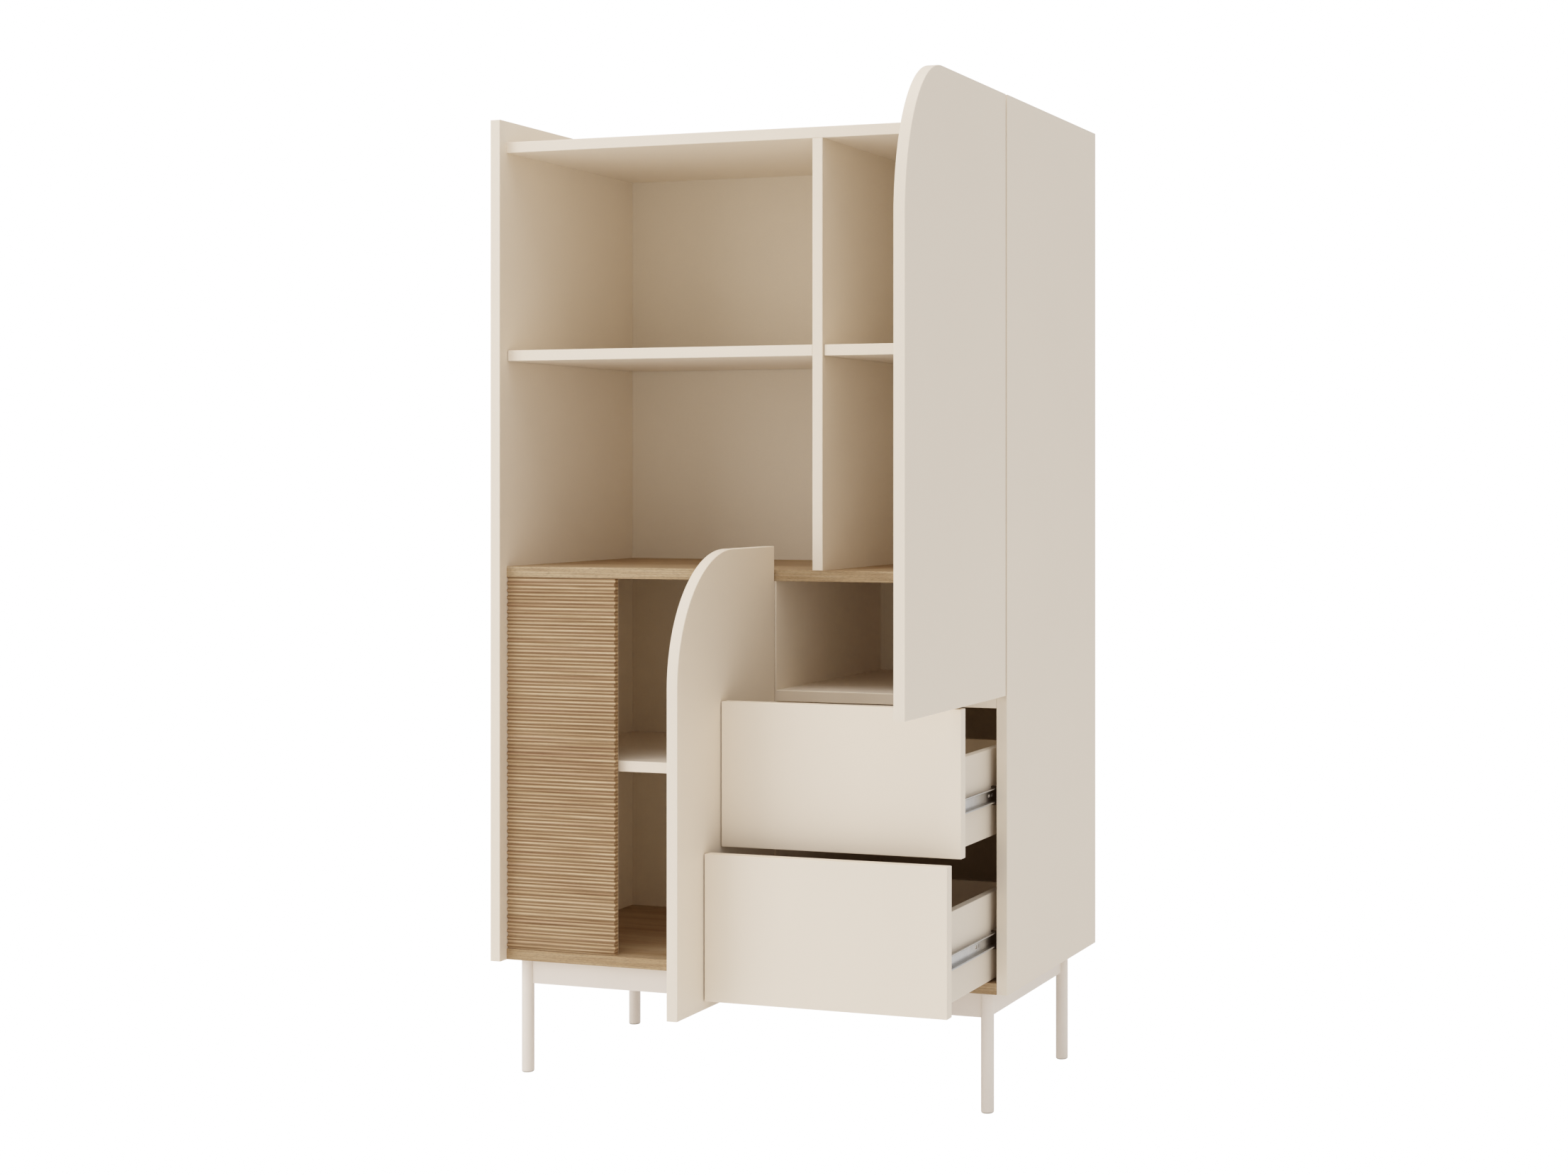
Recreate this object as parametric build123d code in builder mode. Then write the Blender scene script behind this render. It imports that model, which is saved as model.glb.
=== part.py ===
from build123d import *
import os

# A tall shelf unit on a steel underframe: a laminate carcass with oak boards, a ribbed fixed front,
# two doors that stand open at a right angle and two drawers that stand pulled out.
# Cabinet coordinates: x runs right from the left outer face, y runs back from the front plane
# and z runs up from the body's underside. place() turns them into the part's own frame.

# Overall sizes
width = 810.0
depth = 400.0
body_height = 1245.0
leg_height = 170.0

# Boards
board = 16.0
edge_round = 1.0
front_gap = 2.0
front_board = 16.0
groove_depth = 6.0
fit = 0.1

# Heights of the fixed boards, each measured to its underside
top_panel_drop = 31.0
middle_shelf_low = 568.0
niche_shelf_low = 396.5
lower_shelf_low = 284.0

# Places of the uprights, each measured to its left face
lower_divider_left = 441.8
upper_divider_left = 514.4

# Shelves on pins; their setbacks count from the line of the fixed boards' front edges,
# and the upper two lie a little above the middle between the boards below and over them
upper_shelves_above_middle = 6.0
shelf_side_gap = 1.0
shelf_back_gap = 2.0
upper_left_shelf_setback = 2.0
upper_right_shelf_setback = 4.0
behind_ribbed_front = 4.0

# Back sheet
sheet = 3.0
back_recess = 13.0

# Ribbed fixed front; each crest takes this share of the pitch and of the depth, the hollow the rest
ribbed_width = 180.3
ribbed_board = 12.0
rib_pitch = 10.53
rib_depth = 3.2
crest_share = 0.36
ribbed_gap = 0.3

# Doors; each inner face stands proud of the face that its hinges are screwed to
upper_door_low = 414.5
upper_door_proud = 0.2
upper_corner_width = 120.5
upper_corner_height = 207.0
lower_door_low = 3.0
lower_door_high = 618.0
lower_door_width = 281.0
lower_door_proud = 0.5
lower_corner_width = 156.0
lower_corner_height = 181.0
fronts_clear_of_door = 1.4

# Concealed hinges: the pin sits inside the door's thickness, near its hinge edge
pin_depth = 8.5
pin_from_edge = 6.0
pin_hold = 0.01
pin_radius = 1.3
pin_half_length = 7.8
running_fit = 0.05
cup_radius = 17.4
cup_hole_depth = 13.0
cup_edge_distance = 2.5
cup_floor = 0.9
pocket_wall = 2.0
pocket_half_width = 5.0
nose_radius = 2.4
nose_half_width = 4.5
arm_thickness = 2.8
arm_half_width = 7.0
arm_length = 62.0
arm_widens_at = 12.0
plate_thickness = 2.5
plate_start = 20.0
plate_wing_half = 6.0
plate_wing_reach = 22.0
plate_screw_line = 37.0
plate_screw_reach = 16.0
flange_thickness = 1.2
flange_half_depth = 9.0
flange_half_height = 28.0
cup_screw_reach = 24.0
hinge_from_door_low = 80.0
upper_hinge_from_top = 117.0
lower_hinge_from_top = 100.0

# Drawers
lower_front_low = 15.0
front_spacing = 2.5
upper_drawer_out = 149.0
lower_drawer_out = 197.0
fronts_right_inset = 1.2
drawer_board = 12.0
drawer_behind_gap = 18.0
drawer_side_height = 121.0
drawer_above_bottom_panel = 3.0
drawer_back_drop = 10.0
drawer_sheet_lift = 8.0
drawer_joint_inset = 24.0
side_bore_floor = 3.0

# Ball bearing slides
slide_space = 10.0
slide_start = 20.0
slide_steel = 1.2
slide_height = 27.0
slide_face_gap = 1.5
slide_lip = 1.5
inner_height = 18.0
inner_lip = 1.2
slide_lift = 61.0
cage_length = 80.0
cage_steel = 0.4
cage_clear = 0.2
cage_end_gap = 0.3
ball_count = 5
slide_screw_from_end = 28.0

# Steel underframe
leg_radius = 9.0
leg_wall = 1.5
leg_inset_side = 38.0
leg_front_y = 41.0
leg_from_back = 47.0
rail_height = 38.0
rail_thickness = 3.0
rail_round = 0.6
plate_size = 52.0
plate_hole_near = 18.0
plate_hole_far = 39.0
frame_plate = 3.0
glide_flange = 2.0
glide_flange_radius = 8.7
glide_plug = 12.0

# Fasteners
cam_radius = 7.4
cam_below_bolt = 4.2
cam_reach = 24.0
cam_slot_half = 3.6
cam_cross = 1.2
bolt_radius = 2.4
bolt_head_radius = 3.2
bolt_hole_radius = 4.0
bolt_face_depth = 10.5
cam_from_edge = 50.0
dowel_radius = 4.0
dowel_face_depth = 10.0
dowel_edge_depth = 20.0
dowel_from_edge = 82.0
small_dowel_radius = 2.5
small_dowel_depth = 9.0
small_dowel_inset = 30.0
screw_radius = 1.6
screw_head_radius = 3.2
screw_head = 1.5
screw_length = 12.0
shelf_pin_radius = 2.5
shelf_pin_spacer = 2.0
shelf_pin_reach = 8.0
shelf_pin_from_edge = 42.0
bumper_radius = 4.0
bumper_thickness = 1.5
bumper_from_edge = 100.0

# Wall brackets on the top panel
bracket_width = 40.0
bracket_foot = 36.0
bracket_rise = 26.0
bracket_steel = 2.0
bracket_hole_radius = 2.75
bracket_hole_height = 17.0
bracket_from_side = 150.0
bracket_screw_reach = 10.0
bracket_screw_from_back = 22.0

# Lines that follow from the sizes above
front_line = front_board + front_gap
inner_left = board
inner_right = width - board
top_panel_low = body_height - top_panel_drop - board
lower_divider_right = lower_divider_left + board
upper_divider_right = upper_divider_left + board
back_face = depth - back_recess - sheet
top_face = top_panel_low + board
middle_shelf_top = middle_shelf_low + board
upper_shelf_low = (middle_shelf_top + top_panel_low - board) / 2 + upper_shelves_above_middle

# Where the doors and their pins stand, and the fronts that line up with them
upper_door_inner = inner_right - upper_door_proud
lower_door_inner = lower_divider_left - lower_door_proud
upper_door_high = body_height
pin_y = front_board - pin_depth
hinge_edge_y = pin_y + pin_from_edge
upper_pin_x = upper_door_inner + pin_depth
lower_pin_x = lower_door_inner + pin_depth
fronts_left = lower_door_inner + front_board + fronts_clear_of_door
fronts_right = width - fronts_right_inset
upper_door_width = upper_pin_x + pin_from_edge - fronts_left
upper_free_y = hinge_edge_y - upper_door_width
lower_free_y = hinge_edge_y - lower_door_width
upper_hinge_heights = (upper_door_low + hinge_from_door_low, upper_door_high - upper_hinge_from_top)
lower_hinge_heights = (lower_door_low + hinge_from_door_low, lower_door_high - lower_hinge_from_top)

# The stack of drawer fronts, and the slides' length and hidden insides
drawer_front_height = (upper_door_low - lower_front_low - 2 * front_spacing) / 2
upper_front_low = lower_front_low + drawer_front_height + front_spacing
drawer_side_lift = board + drawer_above_bottom_panel - lower_front_low
drawer_length = back_face - drawer_behind_gap - front_board
slide_length = drawer_length
slide_screws_at = (slide_screw_from_end, slide_length - slide_screw_from_end)
inner_start = slide_steel + 2 * cage_clear + cage_steel
slide_reach = slide_space - slide_face_gap
race_gap = slide_height / 2 - slide_steel - inner_height / 2
race = inner_height / 2 + race_gap / 2
ball_radius = race_gap / 2 - fit

# Rows of fasteners in from the boards' front and back edges
cam_rows = (front_line + cam_from_edge, back_face - cam_from_edge)
dowel_rows = (front_line + dowel_from_edge, back_face - dowel_from_edge)
shelf_pin_rows = (front_line + shelf_pin_from_edge, back_face - shelf_pin_from_edge)
shelf_pin_depth = board / 2 - shelf_pin_spacer / 2
cam_height = board / 2 + cam_below_bolt
leg_rear_y = depth - leg_from_back

# The origin: on the floor, under the middle of the box round the part
middle_x = width / 2
middle_y = (depth + min(upper_free_y, lower_free_y)) / 2

X_AXIS = Vector(1, 0, 0)
Y_AXIS = Vector(0, 1, 0)
Z_AXIS = Vector(0, 0, 1)


def place(x, y, z):
    """A cabinet point in the part's own frame."""
    return Vector(x - middle_x, y - middle_y, z + leg_height)


def slab(x0, x1, y0, y1, z0, z1, mode=Mode.ADD):
    """A straight block between two cabinet corners, in the builder that is open."""
    with Locations(place(x0, y0, z0)):
        Box(x1 - x0, y1 - y0, z1 - z0, align=(Align.MIN, Align.MIN, Align.MIN), mode=mode)


def shifted(point, direction, distance):
    """The cabinet point that lies a distance from another along a direction."""
    return tuple(Vector(*point) + direction * distance)


def rods(spots, before, radius, length, mode=Mode.ADD):
    """Equal round bars or bores, one per spot, in the builder that is open.

    Each starts a distance before its cabinet point and runs along its direction."""
    planes = []
    for point, direction in spots:
        start = shifted(point, direction, -before)
        planes.append(Plane(origin=place(*start), z_dir=direction))
    with Locations(*planes):
        Cylinder(radius, length, align=(Align.CENTER, Align.CENTER, Align.MIN), mode=mode)


def rod(start, direction, radius, length, mode=Mode.ADD):
    """One round bar or bore from a cabinet point along a direction."""
    rods([(start, direction)], 0, radius, length, mode)


def keep(builder, name):
    """Labels a finished piece and writes its file."""
    builder.part.label = name
    export_step(builder.part, "parts/" + name + ".step")


os.makedirs("parts", exist_ok=True)

# Joints between boards: the middle of each joint line's end, and the way into the butting board.
# The last entry is the side on which the cam's housing opens, away from what the eye meets.
middle_shelf_middle = middle_shelf_low + board / 2
niche_shelf_middle = niche_shelf_low + board / 2
top_panel_middle = top_panel_low + board / 2
lower_divider_middle = lower_divider_left + board / 2
upper_divider_middle = upper_divider_left + board / 2
board_joints = [
    (inner_left, board / 2, X_AXIS, -Z_AXIS),
    (inner_right, board / 2, -X_AXIS, -Z_AXIS),
    (inner_left, middle_shelf_middle, X_AXIS, -Z_AXIS),
    (inner_right, middle_shelf_middle, -X_AXIS, -Z_AXIS),
    (inner_left, top_panel_middle, X_AXIS, Z_AXIS),
    (inner_right, top_panel_middle, -X_AXIS, Z_AXIS),
    (lower_divider_right, niche_shelf_middle, X_AXIS, -Z_AXIS),
    (inner_right, niche_shelf_middle, -X_AXIS, -Z_AXIS),
    (lower_divider_middle, board, Z_AXIS, -X_AXIS),
    (lower_divider_middle, middle_shelf_low, -Z_AXIS, -X_AXIS),
    (upper_divider_middle, middle_shelf_top, Z_AXIS, -X_AXIS),
    (upper_divider_middle, top_panel_low, -Z_AXIS, -X_AXIS),
]
cam_spots = [((x, row, z), way) for x, z, way, opening in board_joints for row in cam_rows]
dowel_spots = [((x, row, z), way) for x, z, way, opening in board_joints for row in dowel_rows]
cam_seats = []
for x, z, way, opening in board_joints:
    for row in cam_rows:
        middle = shifted((x, row, z), way, cam_reach)
        cam_seats.append((shifted(middle, opening, board / 2), -opening))

# Small dowels that hold the ribbed front between the middle shelf and the bottom panel
ribbed_back = front_line + ribbed_board
ribbed_core_y = (front_line + rib_depth + ribbed_back) / 2
small_dowel_spots = []
for across in (inner_left + small_dowel_inset, inner_left + ribbed_width - small_dowel_inset):
    small_dowel_spots.append(((across, ribbed_core_y, board), Z_AXIS))
    small_dowel_spots.append(((across, ribbed_core_y, middle_shelf_low), Z_AXIS))

# Shelf pins: where each leaves the face of an upright, and which way it stands out
pin_spots = []
for row in shelf_pin_rows:
    upper_level = upper_shelf_low + board / 2
    lower_level = lower_shelf_low + board / 2
    pin_spots.append(((inner_left, row, upper_level), X_AXIS))
    pin_spots.append(((upper_divider_left, row, upper_level), -X_AXIS))
    pin_spots.append(((upper_divider_right, row, upper_level), X_AXIS))
    pin_spots.append(((inner_right, row, upper_level), -X_AXIS))
    pin_spots.append(((inner_left, row, lower_level), X_AXIS))
    pin_spots.append(((lower_divider_left, row, lower_level), -X_AXIS))

# Slides: the face each cabinet member is screwed to, the way to its drawer and its middle height
slide_spots = []
for front_low in (lower_front_low, upper_front_low):
    slide_spots.append((lower_divider_right, 1, front_low + slide_lift))
    slide_spots.append((inner_right, -1, front_low + slide_lift))

# Pan head screws: the head's seat and the way the screw is driven
hinge_spots = [(upper_pin_x, inner_right, level) for level in upper_hinge_heights]
hinge_spots += [(lower_pin_x, lower_divider_left, level) for level in lower_hinge_heights]
plate_screw_y = front_line + plate_screw_line
screw_spots = []
for pin_x, face, level in hinge_spots:
    for reach in (-plate_screw_reach, plate_screw_reach):
        screw_spots.append(((face - plate_thickness, plate_screw_y, level + reach), X_AXIS))
leg_places = []
for leg_x in (leg_inset_side, width - leg_inset_side):
    for leg_y in (leg_front_y, leg_rear_y):
        leg_places.append((leg_x, leg_y))
for leg_x, leg_y in leg_places:
    side = 1 if leg_x < middle_x else -1
    fore = 1 if leg_y == leg_front_y else -1
    for dx, dy in ((plate_hole_near, plate_hole_far), (plate_hole_far, plate_hole_near)):
        screw_spots.append(((leg_x + side * dx, leg_y + fore * dy, -frame_plate), Z_AXIS))
bracket_places = (bracket_from_side, width - bracket_from_side)
for across in bracket_places:
    for offset in (-bracket_screw_reach, bracket_screw_reach):
        seat = (across + offset, depth - bracket_screw_from_back, top_face + bracket_steel)
        screw_spots.append((seat, -Z_AXIS))
slide_screw_spots = []
for face, way, level in slide_spots:
    for along in slide_screws_at:
        slide_screw_spots.append(((face + way * slide_steel, slide_start + along, level),
                                  -way * X_AXIS))


def drill():
    """Cuts every bore of the joints above out of the board that is open."""
    rods(dowel_spots, dowel_face_depth + fit, dowel_radius + running_fit,
         dowel_face_depth + dowel_edge_depth + 2 * fit, Mode.SUBTRACT)
    rods(cam_spots, bolt_face_depth + fit, bolt_radius + running_fit,
         bolt_face_depth + 2 * fit, Mode.SUBTRACT)
    rods(cam_spots, 0, bolt_hole_radius, cam_reach, Mode.SUBTRACT)
    rods(cam_seats, 0, cam_radius + fit, cam_height + 2 * fit, Mode.SUBTRACT)
    rods(small_dowel_spots, small_dowel_depth + fit, small_dowel_radius + running_fit,
         2 * (small_dowel_depth + fit), Mode.SUBTRACT)
    rods(pin_spots, shelf_pin_depth + fit, shelf_pin_radius + running_fit,
         shelf_pin_depth + shelf_pin_reach + 2 * fit, Mode.SUBTRACT)
    rods(screw_spots + slide_screw_spots, 0, screw_radius + running_fit, screw_length + fit,
         Mode.SUBTRACT)


def soften_front(builder, along):
    """Rounds the long edges of a board's front face, as its edge band is."""
    front = builder.faces().sort_by(Axis.Y)[0]
    fillet(front.edges().filter_by(along), radius=edge_round)


# Side panels: the left one stands forward to the front plane, the right one lies behind the fronts
with BuildPart() as left_side_panel:
    slab(0, board, 0, depth, 0, body_height)
    fillet(left_side_panel.faces().sort_by(Axis.Y)[0].edges(), radius=edge_round)
    slab(inner_left - groove_depth, inner_left, back_face - fit, back_face + sheet + fit,
         board - groove_depth, top_panel_low + groove_depth, Mode.SUBTRACT)
    drill()
keep(left_side_panel, "left_side_panel")

with BuildPart() as right_side_panel:
    slab(inner_right, width, front_line, depth, 0, body_height)
    fillet(right_side_panel.faces().sort_by(Axis.Y)[0].edges(), radius=edge_round)
    slab(inner_right, inner_right + groove_depth, back_face - fit, back_face + sheet + fit,
         board - groove_depth, top_panel_low + groove_depth, Mode.SUBTRACT)
    drill()
keep(right_side_panel, "right_side_panel")

# Top and bottom panels: full width boards with a groove for the back sheet
with BuildPart() as top_panel:
    slab(inner_left, inner_right, front_line, depth, top_panel_low, top_face)
    soften_front(top_panel, Axis.X)
    slab(inner_left, inner_right, back_face - fit, back_face + sheet + fit,
         top_panel_low, top_panel_low + groove_depth, Mode.SUBTRACT)
    drill()
keep(top_panel, "top_panel")

with BuildPart() as bottom_panel:
    slab(inner_left, inner_right, front_line, depth, 0, board)
    soften_front(bottom_panel, Axis.X)
    slab(inner_left, inner_right, back_face - fit, back_face + sheet + fit,
         board - groove_depth, board, Mode.SUBTRACT)
    drill()
keep(bottom_panel, "bottom_panel")

# Fixed boards that end at the back sheet
fixed_boards = {
    "middle_shelf": (inner_left, inner_right, middle_shelf_low, middle_shelf_top, Axis.X),
    "niche_shelf": (lower_divider_right, inner_right, niche_shelf_low, niche_shelf_low + board,
                    Axis.X),
    "lower_divider": (lower_divider_left, lower_divider_right, board, middle_shelf_low, Axis.Z),
    "upper_divider": (upper_divider_left, upper_divider_right, middle_shelf_top, top_panel_low,
                      Axis.Z),
}
for name, (left, right, low, high, along) in fixed_boards.items():
    with BuildPart() as fixed_board:
        slab(left, right, front_line, back_face - fit, low, high)
        soften_front(fixed_board, along)
        drill()
    keep(fixed_board, name)

# Shelves on pins that sit in bores in the shelf's ends
pin_shelves = {
    "upper_left_shelf": (inner_left, upper_divider_left, front_line + upper_left_shelf_setback,
                         upper_shelf_low),
    "upper_right_shelf": (upper_divider_right, inner_right, front_line + upper_right_shelf_setback,
                          upper_shelf_low),
    "lower_left_shelf": (inner_left, lower_divider_left, ribbed_back + behind_ribbed_front,
                         lower_shelf_low),
}
for name, (left, right, shelf_front, low) in pin_shelves.items():
    with BuildPart() as pin_shelf:
        slab(left + shelf_side_gap, right - shelf_side_gap, shelf_front, back_face - shelf_back_gap,
             low, low + board)
        soften_front(pin_shelf, Axis.X)
        drill()
    keep(pin_shelf, name)

# Back sheet, held in grooves all round
with BuildPart() as back_panel:
    reach = groove_depth - 2 * fit
    slab(inner_left - reach, inner_right + reach, back_face, back_face + sheet,
         board - reach, top_panel_low + reach)
keep(back_panel, "back_panel")

# Ribbed front: a length cut from a board whose face is a row of narrow crests and wide hollows,
# tangent to each other; the cut at its foot runs through the middle of a hollow
rib_foot = board + ribbed_gap
rib_top = middle_shelf_low - ribbed_gap
crest = crest_share * rib_pitch
hollow = rib_pitch - crest
row_foot = rib_foot - crest - hollow / 2
rib_count = int((rib_top - row_foot) / rib_pitch) + 1
with BuildPart() as ribbed_front:
    with BuildSketch(Plane(origin=place(inner_left + ribbed_gap, 0, 0), x_dir=Y_AXIS,
                           z_dir=X_AXIS)):
        with BuildLine():
            turn_y = front_line + crest_share * rib_depth
            level = row_foot
            for rib in range(rib_count):
                ThreePointArc((turn_y, level), (front_line, level + crest / 2),
                              (turn_y, level + crest))
                ThreePointArc((turn_y, level + crest),
                              (front_line + rib_depth, level + crest + hollow / 2),
                              (turn_y, level + rib_pitch))
                level += rib_pitch
            Polyline((turn_y, level), (ribbed_back, level), (ribbed_back, row_foot),
                     (turn_y, row_foot))
        make_face()
    extrude(amount=ribbed_width - ribbed_gap)
    slab(inner_left + ribbed_gap, inner_left + ribbed_width, front_line, ribbed_back,
         rib_foot, rib_top, Mode.INTERSECT)
    rods(small_dowel_spots, small_dowel_depth + fit, small_dowel_radius + running_fit,
         2 * (small_dowel_depth + fit), Mode.SUBTRACT)
keep(ribbed_front, "ribbed_front")

# Cams: each has a tunnel for the bolt's head and a cross recess to turn it by
with BuildPart() as cam_locks:
    rods(cam_seats, -fit, cam_radius, cam_height)
    tunnels = []
    crosses = []
    for x, z, way, opening in board_joints:
        for row in cam_rows:
            middle = shifted((x, row, z), way, cam_reach)
            tunnels.append(Plane(origin=place(*middle), x_dir=way, z_dir=opening))
            face = shifted(middle, opening, board / 2 - fit)
            crosses.append(Plane(origin=place(*face), x_dir=way, z_dir=opening))
    with Locations(*tunnels):
        with Locations((cam_slot_half, 0, 0)):
            Box(cam_slot_half + cam_radius, 2 * cam_slot_half, 2 * cam_slot_half,
                align=(Align.MAX, Align.CENTER, Align.CENTER), mode=Mode.SUBTRACT)
    with Locations(*crosses):
        Box(cam_radius, cam_cross, 2 * cam_cross, mode=Mode.SUBTRACT)
        Box(cam_cross, cam_radius, 2 * cam_cross, mode=Mode.SUBTRACT)
keep(cam_locks, "cam_locks")

# Bolts that the cams draw in
with BuildPart() as cam_bolts:
    rods(cam_spots, bolt_face_depth, bolt_radius, bolt_face_depth + cam_reach)
    rods(cam_spots, bolt_head_radius - cam_reach, bolt_head_radius, bolt_head_radius)
keep(cam_bolts, "cam_bolts")

# Beech dowels, with the small ones of the ribbed front
with BuildPart() as dowels:
    rods(dowel_spots, dowel_face_depth, dowel_radius, dowel_face_depth + dowel_edge_depth)
    rods(small_dowel_spots, small_dowel_depth, small_dowel_radius, 2 * small_dowel_depth)
keep(dowels, "dowels")

# Steel pins that carry the shelves
with BuildPart() as shelf_pins:
    rods(pin_spots, shelf_pin_depth, shelf_pin_radius, shelf_pin_depth + shelf_pin_reach)
keep(shelf_pins, "shelf_pins")

# Pan head screws of the hinge plates, the underframe and the wall brackets
with BuildPart() as wood_screws:
    rods(screw_spots, 0, screw_radius, screw_length)
    rods(screw_spots, screw_head, screw_head_radius, screw_head)
keep(wood_screws, "wood_screws")

# Flat head screws that sink into the slides' cabinet members
slide_head = slide_steel / 2
with BuildPart() as slide_screws:
    rods(slide_screw_spots, 0, screw_radius, screw_length)
    rods(slide_screw_spots, 0, screw_head_radius - fit, slide_head)
keep(slide_screws, "slide_screws")

# Legs of the underframe: round tubes, one node each
leg_names = ("front_left_leg", "rear_left_leg", "front_right_leg", "rear_right_leg")
for name, (leg_x, leg_y) in zip(leg_names, leg_places):
    with BuildPart() as leg:
        rod((leg_x, leg_y, glide_flange - leg_height), Z_AXIS, leg_radius,
            leg_height - glide_flange)
        rod((leg_x, leg_y, glide_flange - leg_height), Z_AXIS, leg_radius - leg_wall,
            leg_height - glide_flange, Mode.SUBTRACT)
    keep(leg, name)

# Rails of the underframe: flat bars with eased edges, welded between the legs and hollowed to them
half_rail = rail_thickness / 2
right_leg_x = width - leg_inset_side
rails = {
    "frame_front_rail": (leg_inset_side, right_leg_x, leg_front_y - half_rail,
                         leg_front_y + half_rail, Axis.X),
    "frame_rear_rail": (leg_inset_side, right_leg_x, leg_rear_y - half_rail,
                        leg_rear_y + half_rail, Axis.X),
    "frame_left_rail": (leg_inset_side - half_rail, leg_inset_side + half_rail, leg_front_y,
                        leg_rear_y, Axis.Y),
    "frame_right_rail": (right_leg_x - half_rail, right_leg_x + half_rail, leg_front_y,
                         leg_rear_y, Axis.Y),
}
for name, (left, right, fore, rear, along) in rails.items():
    with BuildPart() as rail:
        slab(left, right, fore, rear, -rail_height, 0)
        fillet(rail.edges().filter_by(along), radius=rail_round)
        for leg_x, leg_y in leg_places:
            rod((leg_x, leg_y, -rail_height), Z_AXIS, leg_radius, rail_height, Mode.SUBTRACT)
    keep(rail, name)

# Corner plates of the underframe, with clear holes for the screws
with BuildPart() as frame_plates:
    for leg_x, leg_y in leg_places:
        side = 1 if leg_x < middle_x else -1
        fore = 1 if leg_y == leg_front_y else -1
        near_x, far_x = leg_x + side * half_rail, leg_x + side * plate_size
        near_y, far_y = leg_y + fore * half_rail, leg_y + fore * plate_size
        slab(min(near_x, far_x), max(near_x, far_x), min(near_y, far_y), max(near_y, far_y),
             -frame_plate, 0)
        rod((leg_x, leg_y, -frame_plate), Z_AXIS, leg_radius, frame_plate, Mode.SUBTRACT)
    plate_screws = [spot for spot in screw_spots if spot[0][2] == -frame_plate]
    rods(plate_screws, 0, screw_radius + fit, frame_plate, Mode.SUBTRACT)
keep(frame_plates, "frame_plates")

# Plastic glides pushed into the legs
with BuildPart() as leg_glides:
    for leg_x, leg_y in leg_places:
        rod((leg_x, leg_y, -leg_height), Z_AXIS, glide_flange_radius, glide_flange)
        rod((leg_x, leg_y, glide_flange - leg_height), Z_AXIS, leg_radius - leg_wall - fit,
            glide_plug)
keep(leg_glides, "leg_glides")

# Hinge plates on the inner faces of the right panel and the lower divider
with BuildPart() as hinge_plates:
    for pin_x, face, level in hinge_spots:
        arm_reach = pin_y + arm_length
        slab(face - plate_thickness, face, pin_y + plate_start, arm_reach,
             level - arm_half_width, level + arm_half_width)
        slab(face - plate_thickness, face, plate_screw_y - plate_wing_half,
             plate_screw_y + plate_wing_half, level - plate_wing_reach, level + plate_wing_reach)
        for reach in (-plate_screw_reach, plate_screw_reach):
            rod((face - plate_thickness, plate_screw_y, level + reach), X_AXIS,
                screw_radius + fit, plate_thickness, Mode.SUBTRACT)
keep(hinge_plates, "hinge_plates")

# Hinge arms: a nose round the pin, a short run into the cabinet and a long leg on the plate
with BuildPart() as hinge_arms:
    for pin_x, face, level in hinge_spots:
        outer_x = face - plate_thickness - arm_thickness
        inner_x = face - plate_thickness
        half_arm = arm_thickness / 2
        rod((pin_x, pin_y, level - nose_half_width), Z_AXIS, nose_radius, 2 * nose_half_width)
        slab(outer_x, pin_x, pin_y - half_arm, pin_y + half_arm,
             level - nose_half_width, level + nose_half_width)
        slab(outer_x, inner_x, pin_y - half_arm, pin_y + arm_widens_at,
             level - nose_half_width, level + nose_half_width)
        slab(outer_x, inner_x, pin_y + arm_widens_at, pin_y + arm_length,
             level - arm_half_width, level + arm_half_width)
        rod((pin_x, pin_y, level - nose_half_width), Z_AXIS, pin_radius + running_fit,
            2 * nose_half_width, Mode.SUBTRACT)
keep(hinge_arms, "hinge_arms")

# Angle brackets that tie the top panel to a wall
with BuildPart() as wall_brackets:
    for across in bracket_places:
        left, right = across - bracket_width / 2, across + bracket_width / 2
        slab(left, right, depth - bracket_foot, depth, top_face, top_face + bracket_steel)
        slab(left, right, depth - bracket_steel, depth, top_face, top_face + bracket_rise)
        rod((across, depth - bracket_steel, top_face + bracket_hole_height), Y_AXIS,
            bracket_hole_radius, bracket_steel, Mode.SUBTRACT)
    bracket_screws = [spot for spot in screw_spots if spot[0][2] == top_face + bracket_steel]
    rods(bracket_screws, 0, screw_radius + fit, bracket_steel, Mode.SUBTRACT)
keep(wall_brackets, "wall_brackets")

# Soft dots on the boards' front edges, where the closed doors and the upper drawer meet them
lower_dot_x = lower_divider_left - bumper_from_edge / 2
upper_dot_x = inner_right - bumper_from_edge
dot_spots = (
    (lower_dot_x, board / 2),
    (lower_dot_x, middle_shelf_middle),
    (upper_dot_x, middle_shelf_middle),
    (upper_dot_x, top_panel_middle),
    (upper_dot_x, niche_shelf_middle),
)
with BuildPart() as bumpers:
    rods([((across, front_line, level), Y_AXIS) for across, level in dot_spots],
         bumper_thickness, bumper_radius, bumper_thickness)
keep(bumpers, "bumpers")


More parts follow.
